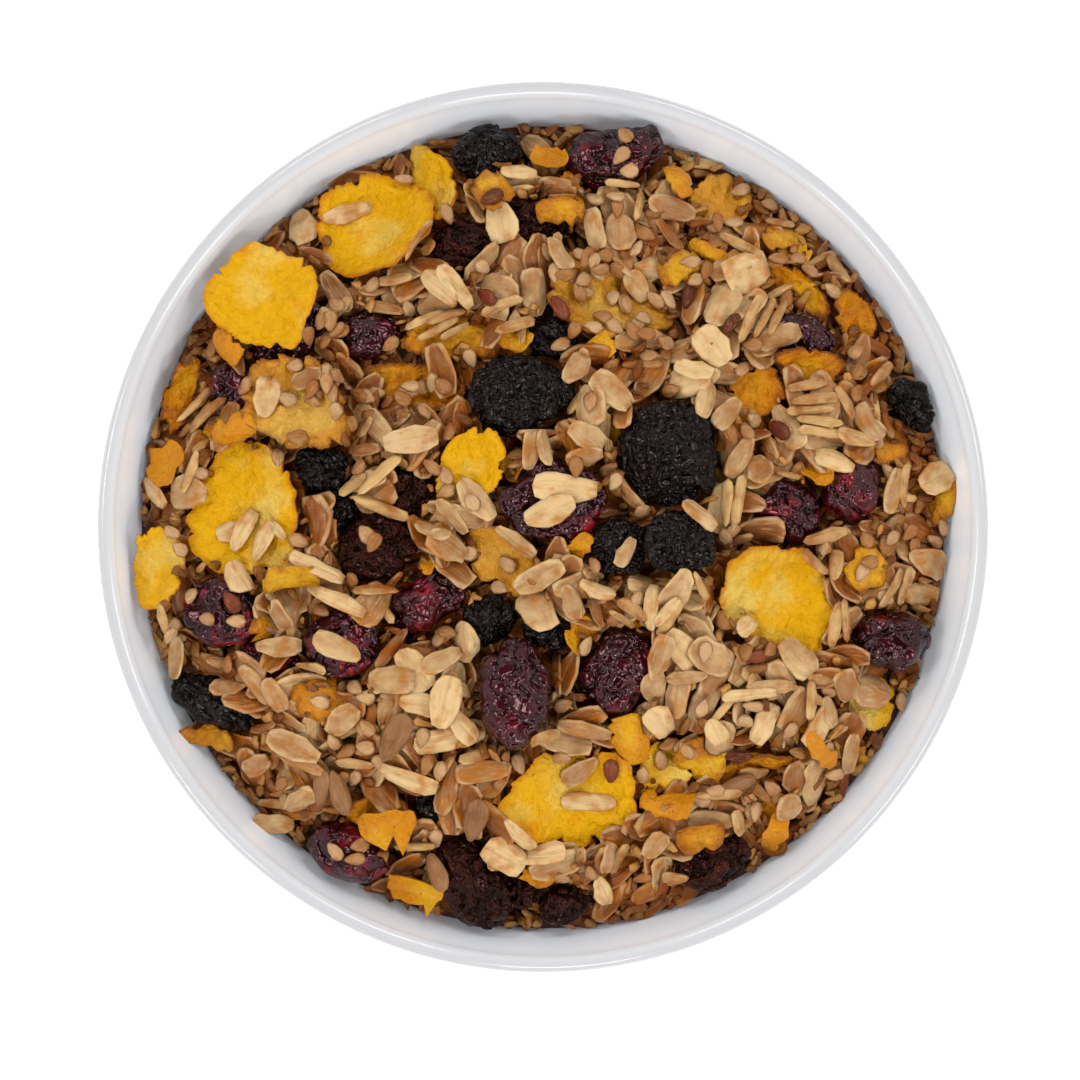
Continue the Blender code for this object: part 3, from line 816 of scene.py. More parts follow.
def outline_of(flat):
    """Weights of the circle waves for the distance from the middle to a flat shape's outline.

    For each angle it is the farthest place where the ray crosses an edge.
    """
    angle = np.linspace(0, math.tau, OUTLINE_RAYS, endpoint=False)
    ray = np.stack([np.cos(angle), np.sin(angle)], -1)
    start = flat.reshape(-1, 2)
    end = np.roll(flat, -1, axis=1).reshape(-1, 2)
    side_start = ray[:, :1] * start[:, 1] - ray[:, 1:] * start[:, 0]
    side_end = ray[:, :1] * end[:, 1] - ray[:, 1:] * end[:, 0]
    share = side_start / np.where(side_start == side_end, np.nan, side_start - side_end)
    crossing = start + share[..., None] * (end - start)
    reach = np.einsum("kec,kc->ke", crossing, ray)
    reach = np.where((share >= 0) & (share <= 1), reach, 0)
    return fitted(circle_waves(angle), np.nanmax(reach, axis=1), OUTLINE_STANDS_OUT)


def sheet_of(node):
    """A flake's middle, axes, outline weights, size, and the weights of its middle sheet's height."""
    triangles = triangles_of(node)
    middle, axes = main_axes(triangles.mean(1))
    local = (triangles - middle) @ axes.T
    outline = outline_of(local[..., :2])
    angle = np.tile(np.linspace(0, math.tau, OUTLINE_RAYS, endpoint=False), FIT_RINGS)
    share = np.repeat(np.linspace(*RING_SHARES, FIT_RINGS), OUTLINE_RAYS)
    flat = on_circle((circle_waves(angle) @ outline) * share, angle)[:, :2]
    starts = np.concatenate([flat, np.full((len(flat), 1), BELOW)], -1)
    up = np.broadcast_to([0.0, 0.0, 1.0], starts.shape)
    under = BELOW + nearest_hits(starts, up, local)
    seen = np.isfinite(under)
    size = float(outline[0])
    columns = powers(flat[seen] / size, FIT_DEGREE)
    sheet = fitted(columns, under[seen] + SOLID_THICKNESS / 2, SHEET_STANDS_OUT)
    return middle, axes, outline, size, sheet


# %% Skin of a flake
FLAKE_TOP_ROWS = 30
FLAKE_UNDER_ROWS = 10
FLAKE_COLUMNS = 156
FLAKE_THICKNESS = 0.95 * MM
NOTCH = 1.1 * MM  # depth of the notches
TOOTH = 0.2 * MM  # depth of the crumbly teeth


def flake_rows():
    """Share of the outline's distance, and side (1 above, -1 below), of each row of corners.

    The rows go from the middle over the edge and back underneath.
    """
    top = np.sin(np.linspace(0, math.pi / 2, FLAKE_TOP_ROWS)) ** 0.9
    under = np.linspace(1, 0, FLAKE_UNDER_ROWS)
    sides = np.concatenate([np.ones(FLAKE_TOP_ROWS), -np.ones(FLAKE_UNDER_ROWS)])
    return np.concatenate([top, under])[:, None], sides[:, None]


def torn_outline(outline, angle, seed):
    """Distance to the outline with waves in it, and how much its teeth and its notches take away."""
    reach = circle_waves(angle) @ outline
    bulge = on_circle(reach, angle)
    reach = reach * (1 + 0.05 * ripple(bulge, 9 * MM, seed + 5) + 0.022 * ripple(bulge, 3 * MM, seed + 6))
    rim = on_circle(reach, angle)
    crumbly = 0.25 + smooth_step(ripple(rim, 10 * MM, seed + 7, 1), -0.6, 0.8)
    jagged = np.random.default_rng(seed).uniform(0, TOOTH, len(angle))
    teeth = crumbly * (TOOTH * np.abs(ripple(rim, 1.3 * MM, seed)) + jagged)
    return reach, teeth, NOTCH * smooth_step(ripple(rim, 5 * MM, seed + 1), 0.7, 1.3)


def flake_skin(sheet, seed, blister):
    """The corners of a flake, each one's place from middle to edge, and its blisters' height.

    The height is that of the sheet, plus the blisters, plus or minus half of the thickness.
    """
    middle, axes, outline, size, heights = sheet
    share, side = flake_rows()
    angle = np.linspace(0, math.tau, FLAKE_COLUMNS, endpoint=False)
    reach, teeth, notches = torn_outline(outline, angle, seed)
    torn = 1 - notches / reach * smooth_step(share, 0.6, 1) - teeth / reach * smooth_step(share, 0.86, 1)
    here = on_circle(reach * share * torn, angle)
    large = ripple(here, 7 * MM, seed + 2, 1)
    small = ripple(here, 2.4 * MM, seed + 3)
    # A flake is thinner at its crumbled edge.
    half = FLAKE_THICKNESS / 2 * (1 - 0.45 * smooth_step(share, 0.8, 1.0))
    sheet_height = powers(here[..., :2] / size, FIT_DEGREE) @ heights
    here[..., 2] = sheet_height + blister * (1.5 * large + 0.55 * small) + side * half
    return middle + here @ axes, share + 0 * angle, 0.8 * large + 0.4 * small


# %% [markdown]
# ## Three kinds of flake
#
# Some flakes are bright yellow, some were baked in syrup and carry seeds, and
# some are toasted orange-brown. They differ in finish, so each kind is one
# object. A number for each flake says how far it is toasted.

# %% Making the flakes
YELLOW_FLAKES = (1, 2, 3, 10, 11, 12, 14, 19, 20, 21)
GLAZED_FLAKES = (4, 5, 8, 13)
TOASTED_FLAKES = (6, 7, 9, 15, 16, 17, 18, 22, 23, 24, 25)


def add_flakes(name, numbers, toasts, blister, first_seed):
    """One object with the skins of those flakes; toast is drawn between two values."""
    draw = np.random.default_rng(first_seed)
    nodes = [f"corn_flake_{number:02d}" for number in numbers]
    made = [flake_skin(sheet_of(node), first_seed + 10 * i, blister) for i, node in enumerate(nodes)]
    grids, rims, blisters = (np.stack(part) for part in zip(*made))
    toast = draw.uniform(*toasts, len(nodes))[:, None, None] + 0 * rims
    return add_skins(name, grids, flake=np.stack([rims, blisters, toast], -1)), nodes


yellow_flakes, yellow_nodes = add_flakes("yellow_flakes", YELLOW_FLAKES, (0.0, 0.35), 0.26 * MM, 4000)
glazed_flakes, glazed_nodes = add_flakes("glazed_flakes", GLAZED_FLAKES, (0.2, 0.45), 0.38 * MM, 5000)
toasted_flakes, toasted_nodes = add_flakes("toasted_flakes", TOASTED_FLAKES, (0.45, 1.0), 0.36 * MM, 6000)

# %% [markdown]
# ## Finishes of the flakes
#
# A flake is yellow, with paler clouds more in its middle than at its edge. It is
# orange where it blistered against the pan, with a thin brown line along the
# teeth. Tiny dark specks are bran. Syrup makes a flake tan and glossy. The bump
# is of two sizes, fine grit and the small bubbles of the baked dough.

# %% Flake finishes
def flake_finish(name, colours, roughness, coat):
    """Pale to body colour by clouds, toasted by blisters and by the rim, and specks of bran.

    The colours are the pale one, that of the body, the toasted one and that of the edge.
    """
    tint = paint(255, 226, 150)
    finish = Finish(
        name, coat_weight=coat, coat_roughness=0.2, specular_ior_level=0.38, specular_tint=tint
    )
    pale, body, toasted, edge = (paint(*colour) for colour in colours)
    rim, blister, toast = finish.vector("flake")
    side = finish.noise(11 * MM, detail=1.0)
    cloud = finish.noise(4 * MM, detail=4.0)
    fine = finish.noise(0.7 * MM, detail=3.0, rough=0.6)
    bumps = finish.noise(1.7 * MM, detail=2.0)
    colour = finish.mix(finish.step(side + 0.4 * cloud + 0.12 * rim, 0.60, 0.82), pale, body)
    scorch = finish.noise(3 * MM, detail=5.0, rough=0.65) + 0.12 * blister + 0.35 * toast + 0.2 * rim**3.0
    colour = finish.mix(0.9 * finish.step(scorch, 0.72, 1.08), colour, toasted)
    crumbly = finish.step(rim + 0.25 * fine + 0.15 * toast, 1.02, 1.22)
    colour = finish.mix(0.8 * crumbly, colour, edge)
    speck = finish.step(finish.cells(1.8 * MM), 0.12, 0.06) * finish.step(fine, 0.5, 0.6)
    colour = finish.mix(0.7 * speck, colour, edge)
    # The colour is made lighter and darker with the grit and the blisters of the bump: partly the grit's own
    # colour, partly painted shade on the bumps.
    finish.wear(
        colour=finish.tint(colour, 0.70 + 0.36 * fine + 0.24 * bumps),
        roughness=roughness + 0.2 * (cloud - 0.5),
        relief=0.8 * fine + 1.3 * bumps,
        depth=0.6 * MM,
    )
    return finish


# %% Colours of the flakes
YELLOW = (220, 184, 84), (217, 160, 1), (208, 128, 2), (176, 92, 6)
GLAZED = (210, 162, 66), (200, 136, 36), (168, 96, 20), (112, 54, 12)
TOASTED = (204, 144, 18), (196, 120, 4), (156, 78, 5), (100, 44, 8)

yellow_flake = flake_finish("yellow_flake", YELLOW, roughness=0.24, coat=0.0)
glazed_flake = flake_finish("glazed_flake", GLAZED, roughness=0.2, coat=0.1)
toasted_flake = flake_finish("toasted_flake", TOASTED, roughness=0.3, coat=0.05)
dress(yellow_flakes, yellow_flake, "corn_flake", *yellow_nodes)
dress(glazed_flakes, glazed_flake, "corn_flake", *glazed_nodes)
dress(toasted_flakes, toasted_flake, "corn_flake", *toasted_nodes)

# %% [markdown]
# ## Pouring grains
#
# A physics simulation of a thousand oats would take minutes. A map of heights
# does nearly as well in seconds: it holds the top of everything in the bowl, on
# squares of 0.3 mm. A grain looks at the squares under it, takes their slope,
# sinks until it touches, and then raises the map to its own top. Each grain
# tries a few places and turns, and keeps the lowest, as a poured grain would.

# %% A map of heights
CELL = 0.3 * MM
STEEPEST = 0.75  # slope of a grain
CLEAR_SHARE = 0.9  # of the squares under a grain, the share that it lies clear of


class Heap:
    """The top of what lies in the bowl, and how high the loose grains may reach."""

    def __init__(self):
        count = int(RIM_RADIUS / CELL)
        self.middle = count
        side = np.arange(-count, count + 1) * CELL
        self.x, self.y = np.meshgrid(side, side, indexing="ij")
        radius = np.hypot(self.x, self.y)
        self.tops = np.where(radius < CORE_RADIUS, core_top(self.x, self.y), wall_height(radius))
        self.topped = np.zeros(self.tops.shape, bool)
        self.ceiling = np.full(self.tops.shape, np.inf)
        self.shut = np.zeros(self.tops.shape, bool)

    def index(self, value):
        return np.rint(np.asarray(value) / CELL).astype(int) + self.middle

    def height_at(self, x, y):
        return self.tops[self.index(x), self.index(y)]

    def squares_of(self, piece):
        """The squares that a piece's corners are in, and the heights of the corners."""
        corners = np.empty(3 * len(piece.data.vertices), np.float32)
        piece.data.vertices.foreach_get("co", corners)
        corners = corners.reshape(-1, 3)
        return (self.index(corners[:, 0]), self.index(corners[:, 1])), corners[:, 2]

    def top_of(self, piece):
        """A piece's highest corner over each square or its neighbours, and 0 where it has none."""
        squares, heights = self.squares_of(piece)
        layer = np.zeros(self.tops.shape)
        np.maximum.at(layer, squares, heights)
        return spread(layer)

    def underside_of(self, piece):
        """A piece's lowest corner over each square or its neighbours, and inf where it has none."""
        squares, heights = self.squares_of(piece)
        layer = np.full(self.tops.shape, np.inf)
        np.minimum.at(layer, squares, heights)
        return -spread(-layer)

    def cover(self, piece):
        """Raises the map to a finished piece."""
        layer = self.top_of(piece)
        self.topped |= layer > self.tops
        self.tops = np.maximum(self.tops, layer)

    def footprint(self, x, y, turn, half):
        """The squares under an ellipsoid: where they are, and how thick it is over each."""
        reach = int(half[0] / CELL) + 1
        i, j = int(self.index(x)), int(self.index(y))
        window = slice(i - reach, i + reach + 1), slice(j - reach, j + reach + 1)
        east, north = self.x[window] - x, self.y[window] - y
        along = east * math.cos(turn) + north * math.sin(turn)
        across = north * math.cos(turn) - east * math.sin(turn)
        inside = 1 - (along / half[0]) ** 2 - (across / half[1]) ** 2
        under = inside > 0
        return window, under, along[under], across[under], half[2] * np.sqrt(inside[under])

    def rest(self, x, y, turn, half, lean):
        """(height, slope along, slope across) at which an ellipsoid rests, leaning by two slopes more.

        The slopes are the least-squares plane of the map under it.
        """
        window, under, along, across, depth = self.footprint(x, y, turn, half)
        ground = self.tops[window][under]
        level = ground - ground.mean()
        pitch = (along * level).sum() / (along**2).sum() + lean[0]
        roll = (across * level).sum() / (across**2).sum() + lean[1]
        pitch, roll = np.clip([pitch, roll], -STEEPEST, STEEPEST)
        clear = ground - pitch * along - roll * across + depth
        rank = int(CLEAR_SHARE * (len(clear) - 1))
        return float(np.partition(clear, rank)[rank]), float(pitch), float(roll)

    def keep(self, x, y, turn, half, rested):
        """Raises the map to a grain that rests there."""
        height, pitch, roll = rested
        window, under, along, across, depth = self.footprint(x, y, turn, half)
        tops = self.tops[window]
        tops[under] = np.maximum(tops[under], height + pitch * along + roll * across + depth)


def spread(layer):
    """Each square takes the highest of itself and its eight neighbours."""
    for axis in (0, 1):
        layer = np.maximum(layer, np.maximum(np.roll(layer, 1, axis), np.roll(layer, -1, axis)))
    return layer


heap = Heap()
print(f"{heap.tops.size} squares")

# %% [markdown]
# ## How high the grains may lie
#
# The first grains lie right on the core, under the fruit and the flakes, so that
# no bare core shows between them. The others come after the fruit and flakes are
# in. They fill the bowl to a few millimetres over the core, but not over the
# flakes, which lie on top of the heap. So the map of the highest allowed top
# starts at the layer's depth, drops to just over each flake, and rises again
# away from it at a gentle slope.

# %% Two ceilings
FRUITS = (cranberries, black_raisins, raisins)
FLAKES = (yellow_flakes, glazed_flakes, toasted_flakes)
UNDER_LAYER = 2.6 * MM  # depth of the first grains
UNDER_FLAKES = 0.9 * MM  # how far they stay below the flakes
IN_FRUIT = 1.6 * MM  # and below the top of the fruit
LAYER = 4.8 * MM  # depth of all grains in the middle
EDGE_LAYER = 1.8 * MM  # and at the wall
EDGE_START = 51 * MM  # radius from which the depth gets less
LEAST_SHARE = 0.58  # of that depth, what is left beside a flake
OVER_FLAKES = 0.6 * MM
CEILING_SLOPE = 0.7
CEILING_REACH = 6 * MM
OVERLAP = 1.2 * MM  # how far grains may reach over the edge of a flake or fruit


def low_ceiling():
    """Just over the core, under the flakes, and inside the fruit."""
    limit = core_top(heap.x, heap.y) + UNDER_LAYER
    for piece in FLAKES:
        limit = np.minimum(limit, heap.underside_of(piece) - UNDER_FLAKES)
    for piece in FRUITS:
        top = heap.top_of(piece)
        limit = np.where(top > 0, np.minimum(limit, top - IN_FRUIT), limit)
    return limit


def high_ceiling(flaked):
    """The layer's depth over the core, less near the wall, and lower by a slope towards each flake."""
    bare = core_top(heap.x, heap.y)
    edge = smooth_step(np.hypot(heap.x, heap.y), EDGE_START, CORE_RADIUS)
    layer = LAYER + (EDGE_LAYER - LAYER) * edge
    limit = np.where(flaked, np.minimum(bare + layer, heap.tops + OVER_FLAKES), bare + layer)
    for _ in range(int(CEILING_REACH / CELL)):
        for axis in (0, 1):
            near = np.minimum(np.roll(limit, 1, axis), np.roll(limit, -1, axis))
            limit = np.minimum(limit, near + CEILING_SLOPE * CELL)
    return np.maximum(limit, bare + LEAST_SHARE * layer)


def shrunk(mask, distance):
    """The part of a mask that is farther than a distance from its edge."""
    for _ in range(int(distance / CELL)):
        for axis in (0, 1):
            mask = mask & np.roll(mask, 1, axis) & np.roll(mask, -1, axis)
    return mask


def put_in_fruit_and_flakes():
    """Raises the map to the fruit and the flakes, and sets what that leaves to the grains."""
    for piece in FRUITS:
        heap.cover(piece)
    under_fruit = heap.topped.copy()
    for piece in FLAKES:
        heap.cover(piece)
    heap.ceiling = high_ceiling(heap.topped & ~under_fruit)
    heap.shut = shrunk(heap.topped, OVERLAP)
    print(f"{heap.topped.mean() / (math.pi / 4):.0%} of the bowl is under fruit and flakes")


heap.ceiling = low_ceiling()

# %% [markdown]
# ## Shapes of the grains
#
# A rolled oat is a grain pressed flat, with a furrow along it or two grooves
# between three ribs. Sesame and flax are drops, and crumbs are small chips. All
# of them are one formula: a section carried along the length, with narrow or
# blunt ends, a furrow, a bend and a twist. Ten columns and six rings are enough
# for an oat of 8 mm, since there are hundreds of them. The columns are close
# together at the edge, which keeps the top flat and the edge crisp.

# %% One formula for every grain
OAT_SECTION = np.array(
    [
        # share of the half width, of the half thickness, of the furrow and of the grooves
        (1.0, 0.0, 0, 0),
        (0.90, 0.82, 0, 0),
        (0.46, 0.97, 0, 1),
        (0.04, 1.0, 1, 0),
        (-0.40, 0.97, 0, 1),
        (-0.88, 0.82, 0, 0),
        (-1.0, 0.0, 0, 0),
        (-0.7, -0.8, 0, 0),
        (0.0, -1.0, 0, 0),
        (0.7, -0.8, 0, 0),
    ]
)


def round_section(columns, square=1.0):
    """The same four shares for an ellipse: cos(angle) and sin(angle), both to the power `square`."""
    angle = np.linspace(0, math.tau, columns, endpoint=False)
    shares = np.stack([np.cos(angle), np.sin(angle), 0 * angle, 0 * angle], -1)
    return np.sign(shares) * np.abs(shares) ** square


class GrainKind:
    """A kind of grain. Each way that it is shaped is drawn between two values, as shares of its size."""

    ways = {
        "taper": (0, 0),
        "furrow": (0, 0),
        "grooves": (0, 0),
        "bend": (0, 0),
        "cup": (0, 0),
        "twist": (0, 0),
        "cleft": (0, 0),
        "blunt": (0.5, 0.5),
    }

    def __init__(self, section, rings, uneven=0.05, **ways):
        self.section = section
        self.rings = rings
        self.uneven = uneven
        self.ways = {**self.ways, **ways}


def grain_grids(kind, sizes, seed):
    """(grains, rings + 2, columns, 3) corners of grains along X, and their marks.

    x = length / 2 * u, with the end at u = 1 drawn in by the cleft. The half width
    is (1 - u**2)**blunt, narrower towards one end by the taper, and uneven on each
    side. The section gives y and z as shares of it and of the half thickness. Then
    z has the furrow and grooves, bend * u**2, cup * across**2 and twist * u * across
    added. The marks are u, the share across, and a random number for each grain.
    """
    draw = np.random.default_rng(seed)
    count = len(sizes)
    way = {label: draw.uniform(*ends, (count, 1, 1)) for label, ends in kind.ways.items()}
    u = -np.cos(np.linspace(0, math.pi, kind.rings + 2))[None, :, None]
    across, height, furrow, groove = kind.section.T[:, None, None]
    length, width, thickness = (sizes[:, i, None, None] / 2 for i in range(3))
    outline = np.clip(1 - u**2, 0, 1) ** way["blunt"]
    left, right = kind.uneven * draw.normal(size=(2, count, kind.rings + 2, 1))
    spread_out = outline * (1 + np.where(across > 0, right, left)) * across
    y = width * spread_out * (1 + way["taper"] * u)
    pressed = 2 * (way["furrow"] * furrow + way["grooves"] * groove)
    z = thickness * np.sqrt(outline) * (height - pressed * np.sqrt(outline))
    z = z + way["bend"] * length * (u**2 - 0.4) + way["twist"] * width * u * spread_out
    z = z + way["cup"] * width * spread_out**2
    x = length * u * (1 - way["cleft"] * (u > 1 - 1e-9)) + 0 * y
    marks = u + 0 * y, across * (outline > 1e-6), draw.uniform(0, 1, (count, 1, 1)) + 0 * y
    return np.stack([x, y, z], -1), np.stack(np.broadcast_arrays(*marks), -1)


def laid(grids, placed):
    """The grids of grains moved to where they were laid: each point times its axes, plus its middle."""
    x, y, turn, height, pitch, roll = placed.T
    along = np.stack([np.cos(turn), np.sin(turn), pitch], -1)
    across = np.stack([-np.sin(turn), np.cos(turn), roll], -1)
    along /= np.linalg.norm(along, axis=1, keepdims=True)
    up = np.cross(along, across)
    up /= np.linalg.norm(up, axis=1, keepdims=True)
    axes = np.stack([along, np.cross(up, along), up], 1)
    middle = np.stack([x, y, height], -1)
    return middle[:, None, None] + np.einsum("nrcs,nsd->nrcd", grids, axes)


# %% [markdown]
# ## Where each grain lands
#
# A sunflower spiral gives each grain its own part of the bowl, so no patch is
# bare. Round that place it tries a few spots and turns. A spot is refused when
# it is over a fruit or a flake, pokes through the wall or stands out of the heap.

# %% Laying grains
def pour(sizes, seed, tries=12, scatter=3.0 * MM, lean=(0.10, 0.22), room=0.0, inner=0.0):
    """Lays grains of those sizes; returns (x, y, turn, height, pitch, roll) and the number of each."""
    draw = np.random.default_rng(seed)
    placed, numbers = [], []
    order = draw.permutation(len(sizes))
    for number, spot in enumerate(order):
        half = sizes[number] / 2
        share = (spot + 0.5) / len(sizes)
        radius = math.sqrt(inner**2 + (CORE_RADIUS**2 - inner**2) * share)
        best = None
        for _ in range(tries):
            x = radius * math.cos(spot * GOLDEN_ANGLE) + draw.normal() * scatter
            y = radius * math.sin(spot * GOLDEN_ANGLE) + draw.normal() * scatter
            turn = draw.uniform(0, math.tau)
            leaning = draw.normal() * lean[0], draw.normal() * lean[1]
            if math.hypot(x, y) > CORE_RADIUS or heap.shut[heap.index(x), heap.index(y)]:
                continue
            rested = heap.rest(x, y, turn, half, leaning)
            end = half[0] * abs(math.cos(turn - math.atan2(y, x))) + half[1] / 2
            if math.hypot(x, y) + end > wall_radius(rested[0] + abs(rested[1]) * half[0]):
                continue
            over = rested[0] + half[2] - heap.ceiling[heap.index(x), heap.index(y)]
            if over < room and (best is None or over < best[0]):
                best = over, (x, y, turn), rested
        if best is not None:
            heap.keep(*best[1], half, best[2])
            placed.append((*best[1], *best[2]))
            numbers.append(number)
    return np.array(placed).reshape(-1, 6), np.array(numbers, int)


# %% [markdown]
# ## The kinds of grain
#
# Most oats are whole, with a furrow. Some were rolled out round. Others were cut
# or broke into slivers. Sesame is a small flat drop, beige and slightly glossy.
# Flax is longer, red brown and shiny, and much rarer. Sunflower kernels are
# brown drops as long as an oat. Shards of corn flake and crumbs of baked syrup
# fill the gaps.

# %% Kinds and sizes
BENT = {"bend": (-0.2, 0.2), "cup": (-0.35, 0.35), "twist": (-0.3, 0.3), "blunt": (0.26, 0.44)}
PRESSED = {"furrow": (-0.05, 0.32), "grooves": (-0.05, 0.26), "cleft": (0, 0.16)}
WHOLE_OAT = GrainKind(OAT_SECTION, 6, 0.08, taper=(-0.25, 0.25), **BENT, **PRESSED)
SLIVER = GrainKind(round_section(8, 0.7), 4, 0.10, taper=(-0.35, 0.35), **BENT)
SHARD = GrainKind(round_section(16, 0.5), 10, 0.18, cup=(-0.9, 0.9), bend=(-0.5, 0.5), blunt=(0.2, 0.4))
CRUMB = GrainKind(round_section(6, 0.8), 3, 0.3, taper=(-0.4, 0.4), **BENT)
SESAME = GrainKind(round_section(8, 0.8), 4, 0.03, taper=(0.3, 0.44))
FLAX = GrainKind(round_section(8, 0.85), 5, 0.02, taper=(0.2, 0.32))
KERNEL = GrainKind(round_section(10), 6, 0.03, taper=(0.25, 0.4), blunt=(0.5, 0.6))

# Lowest and highest length, width and thickness, in mm.
WHOLE_SIZES = (6.8, 9.0), (3.2, 4.4), (0.55, 0.85)
ROUND_SIZES = (6.6, 8.2), (4.4, 5.4), (0.5, 0.8)
SLIVER_SIZES = (4.6, 8.0), (1.2, 2.2), (0.7, 1.1)
SHARD_SIZES = (3.0, 7.0), (2.4, 4.6), (0.45, 0.65)
CRUMB_SIZES = (1.6, 3.8), (0.9, 1.9), (0.4, 0.8)
FINE_SIZES = (0.9, 2.0), (0.5, 1.0), (0.3, 0.6)
SESAME_SIZES = (2.9, 3.5), (1.9, 2.3), (0.55, 0.75)
FLAX_SIZES = (3.8, 4.4), (2.0, 2.4), (0.8, 1.0)
KERNEL_SIZES = (7.4, 9.0), (3.4, 4.2), (1.6, 2.0)
print(f"an oat is {len(OAT_SECTION)} columns by {WHOLE_OAT.rings} rings")

# %% Batches of grains
FROM_WALL = 1.5 * MM  # how far sprinkled grains stay from the edge of the core
TONE_SPREAD = 0.2  # how much the tones of a batch may differ
SHARD_RIM = 0.85  # how near to a flake's rim the edge of a shard counts


class Batch:
    """The grains of one kind that were laid so far, until they become one object."""

    def __init__(self, kind):
        self.kind = kind
        self.grids = []
        self.marks = []

    def lay(self, sizes, placed, seed, tone=None):
        """Makes the grains. A tone, from pale at 0 to dark at 1, takes the place of the random number."""
        grids, marks = grain_grids(self.kind, sizes, seed)
        if tone is not None:
            marks[..., 2] = tone + TONE_SPREAD * (marks[..., 2] - 0.5)
        self.grids.append(laid(grids, placed))
        self.marks.append(marks)

    def pour(self, count, ranges, seed, tone=None, **ways):
        """Draws that many sizes and pours the grains; some may find no place."""
        low, high = np.array(ranges).T * MM
        sizes = np.random.default_rng(seed).uniform(low, high, (count, 3))
        placed, numbers = pour(sizes, seed + 1, **ways)
        self.lay(sizes[numbers], placed, seed + 2, tone)
        print(f"{len(numbers)} of {count} grains, up to {ranges[0][1]} mm long, found a place")

    def sprinkle(self, middles, each, reach, ranges, seed, tone=None, on_top=False):
        """Strews grains round each of some pixels, most of them within twice that reach.

        None is left on the wall, and on the fruit and the flakes only if they are meant to lie on top.
        """
        draw = np.random.default_rng(seed)
        pixels = np.repeat(middles, each, axis=0)
        pixels = pixels + draw.normal(size=pixels.shape) * reach
        x, y = place_of(pixels.T, RIM_HEIGHT)
        stays = np.hypot(x, y) < CORE_RADIUS - FROM_WALL
        if not on_top:
            stays &= ~heap.shut[heap.index(x), heap.index(y)]
        turns = draw.uniform(0, 180, (len(pixels), 1))
        self.set_down(np.hstack([pixels, turns])[stays], ranges, seed + 1, tone)

    def set_down(self, rows, ranges, seed, tone=None):
        """Lays grains one by one, each at a pixel of the picture and turned by some degrees.

        A row is (x, y, turn), or (x, y, turn, length, width) with the sizes in pixels.
        """
        draw = np.random.default_rng(seed)
        low, high = np.array(ranges).T * MM
        sizes, placed = draw.uniform(low, high, (len(rows), 3)), []
        for size, row in zip(sizes, rows):
            pixel, degrees, shape = row[:2], row[2], row[3:]
            size[: len(shape)] = np.array(shape) * PIXEL
            height = heap.height_at(*place_of(pixel, RIM_HEIGHT))
            x, y = place_of(pixel, height)
            turn = math.radians(degrees)
            rested = heap.rest(x, y, turn, size / 2, (0, 0))
            heap.keep(x, y, turn, size / 2, rested)
            placed.append((x, y, turn, *rested))
        self.lay(sizes, np.array(placed), seed + 1, tone)

    def add(self, name):
        return add_skins(name, np.concatenate(self.grids), grain=np.concatenate(self.marks))

    def add_as_flakes(self, name):
        """With the marks of a flake: place from middle to rim, no blisters, and the tone as its toast."""
        along, across, toast = np.moveaxis(np.concatenate(self.marks), -1, 0)
        rim = SHARD_RIM * np.minimum(np.hypot(along, across), 1)
        return add_skins(name, np.concatenate(self.grids), flake=np.stack([rim, 0 * rim, toast], -1))


oats, slivers, shards, crumbs = Batch(WHOLE_OAT), Batch(SLIVER), Batch(SHARD), Batch(CRUMB)
sesame, flax, kernels = Batch(SESAME), Batch(FLAX), Batch(KERNEL)

# %% [markdown]
# ## Pouring
#
# The order is that of the heap, from the bottom up. A first layer of oats,
# slivers and crumbs covers the core. Then the fruit and flakes go in, with some
# shards. Oats and slivers follow in three goes, so that the last ones lie across
# the others, and slivers and crumbs are poured close to the wall, where long
# grains seldom fit. More crumbs and the seeds come last, because they roll into
# the gaps. What lies low is darker, as little light and much syrup reach it.

# %% Pouring the grains
NEAR_WALL = 50 * MM
AT_WALL = CORE_RADIUS - 1.8 * MM

# The first goes get dark tones: painted shade on the grains that lie low.
oats.pour(430, WHOLE_SIZES, 7000, tone=1.1)
slivers.pour(260, SLIVER_SIZES, 7010, tone=1.1)
crumbs.pour(420, CRUMB_SIZES, 7020)
put_in_fruit_and_flakes()
shards.pour(40, SHARD_SIZES, 7100, room=0.4 * MM)
# The later goes are paler, so that lower grains are painted darker, as shade.
for go, (whole, narrow, tone) in enumerate(((300, 140, 0.85), (260, 150, 0.6), (240, 160, None))):
    oats.pour(whole, WHOLE_SIZES, 7200 + 10 * go, tone=tone)
    slivers.pour(narrow, SLIVER_SIZES, 7300 + 10 * go, tone=tone, lean=(0.2, 0.4))
oats.pour(70, ROUND_SIZES, 7400, room=0.5 * MM)
slivers.pour(260, SLIVER_SIZES, 7500, inner=NEAR_WALL, tries=24)
crumbs.pour(420, CRUMB_SIZES, 7510, inner=NEAR_WALL, tries=16)
crumbs.pour(300, CRUMB_SIZES, 7520, inner=AT_WALL, tries=24, scatter=0.8 * MM, room=0.4 * MM)
crumbs.pour(260, CRUMB_SIZES, 7610)
crumbs.pour(500, FINE_SIZES, 7615, tries=4)
sesame.pour(120, SESAME_SIZES, 7620, room=0.8 * MM)

# %% [markdown]
# ## Grains that catch the eye
#
# Some grains lie on top of the heap, on a flake or in the hollow of a fruit, and
# are seen whole. They are laid one by one: the place of each is read from the
# picture, in pixels, and its height comes from the map, so that it rests on what
# is under it.

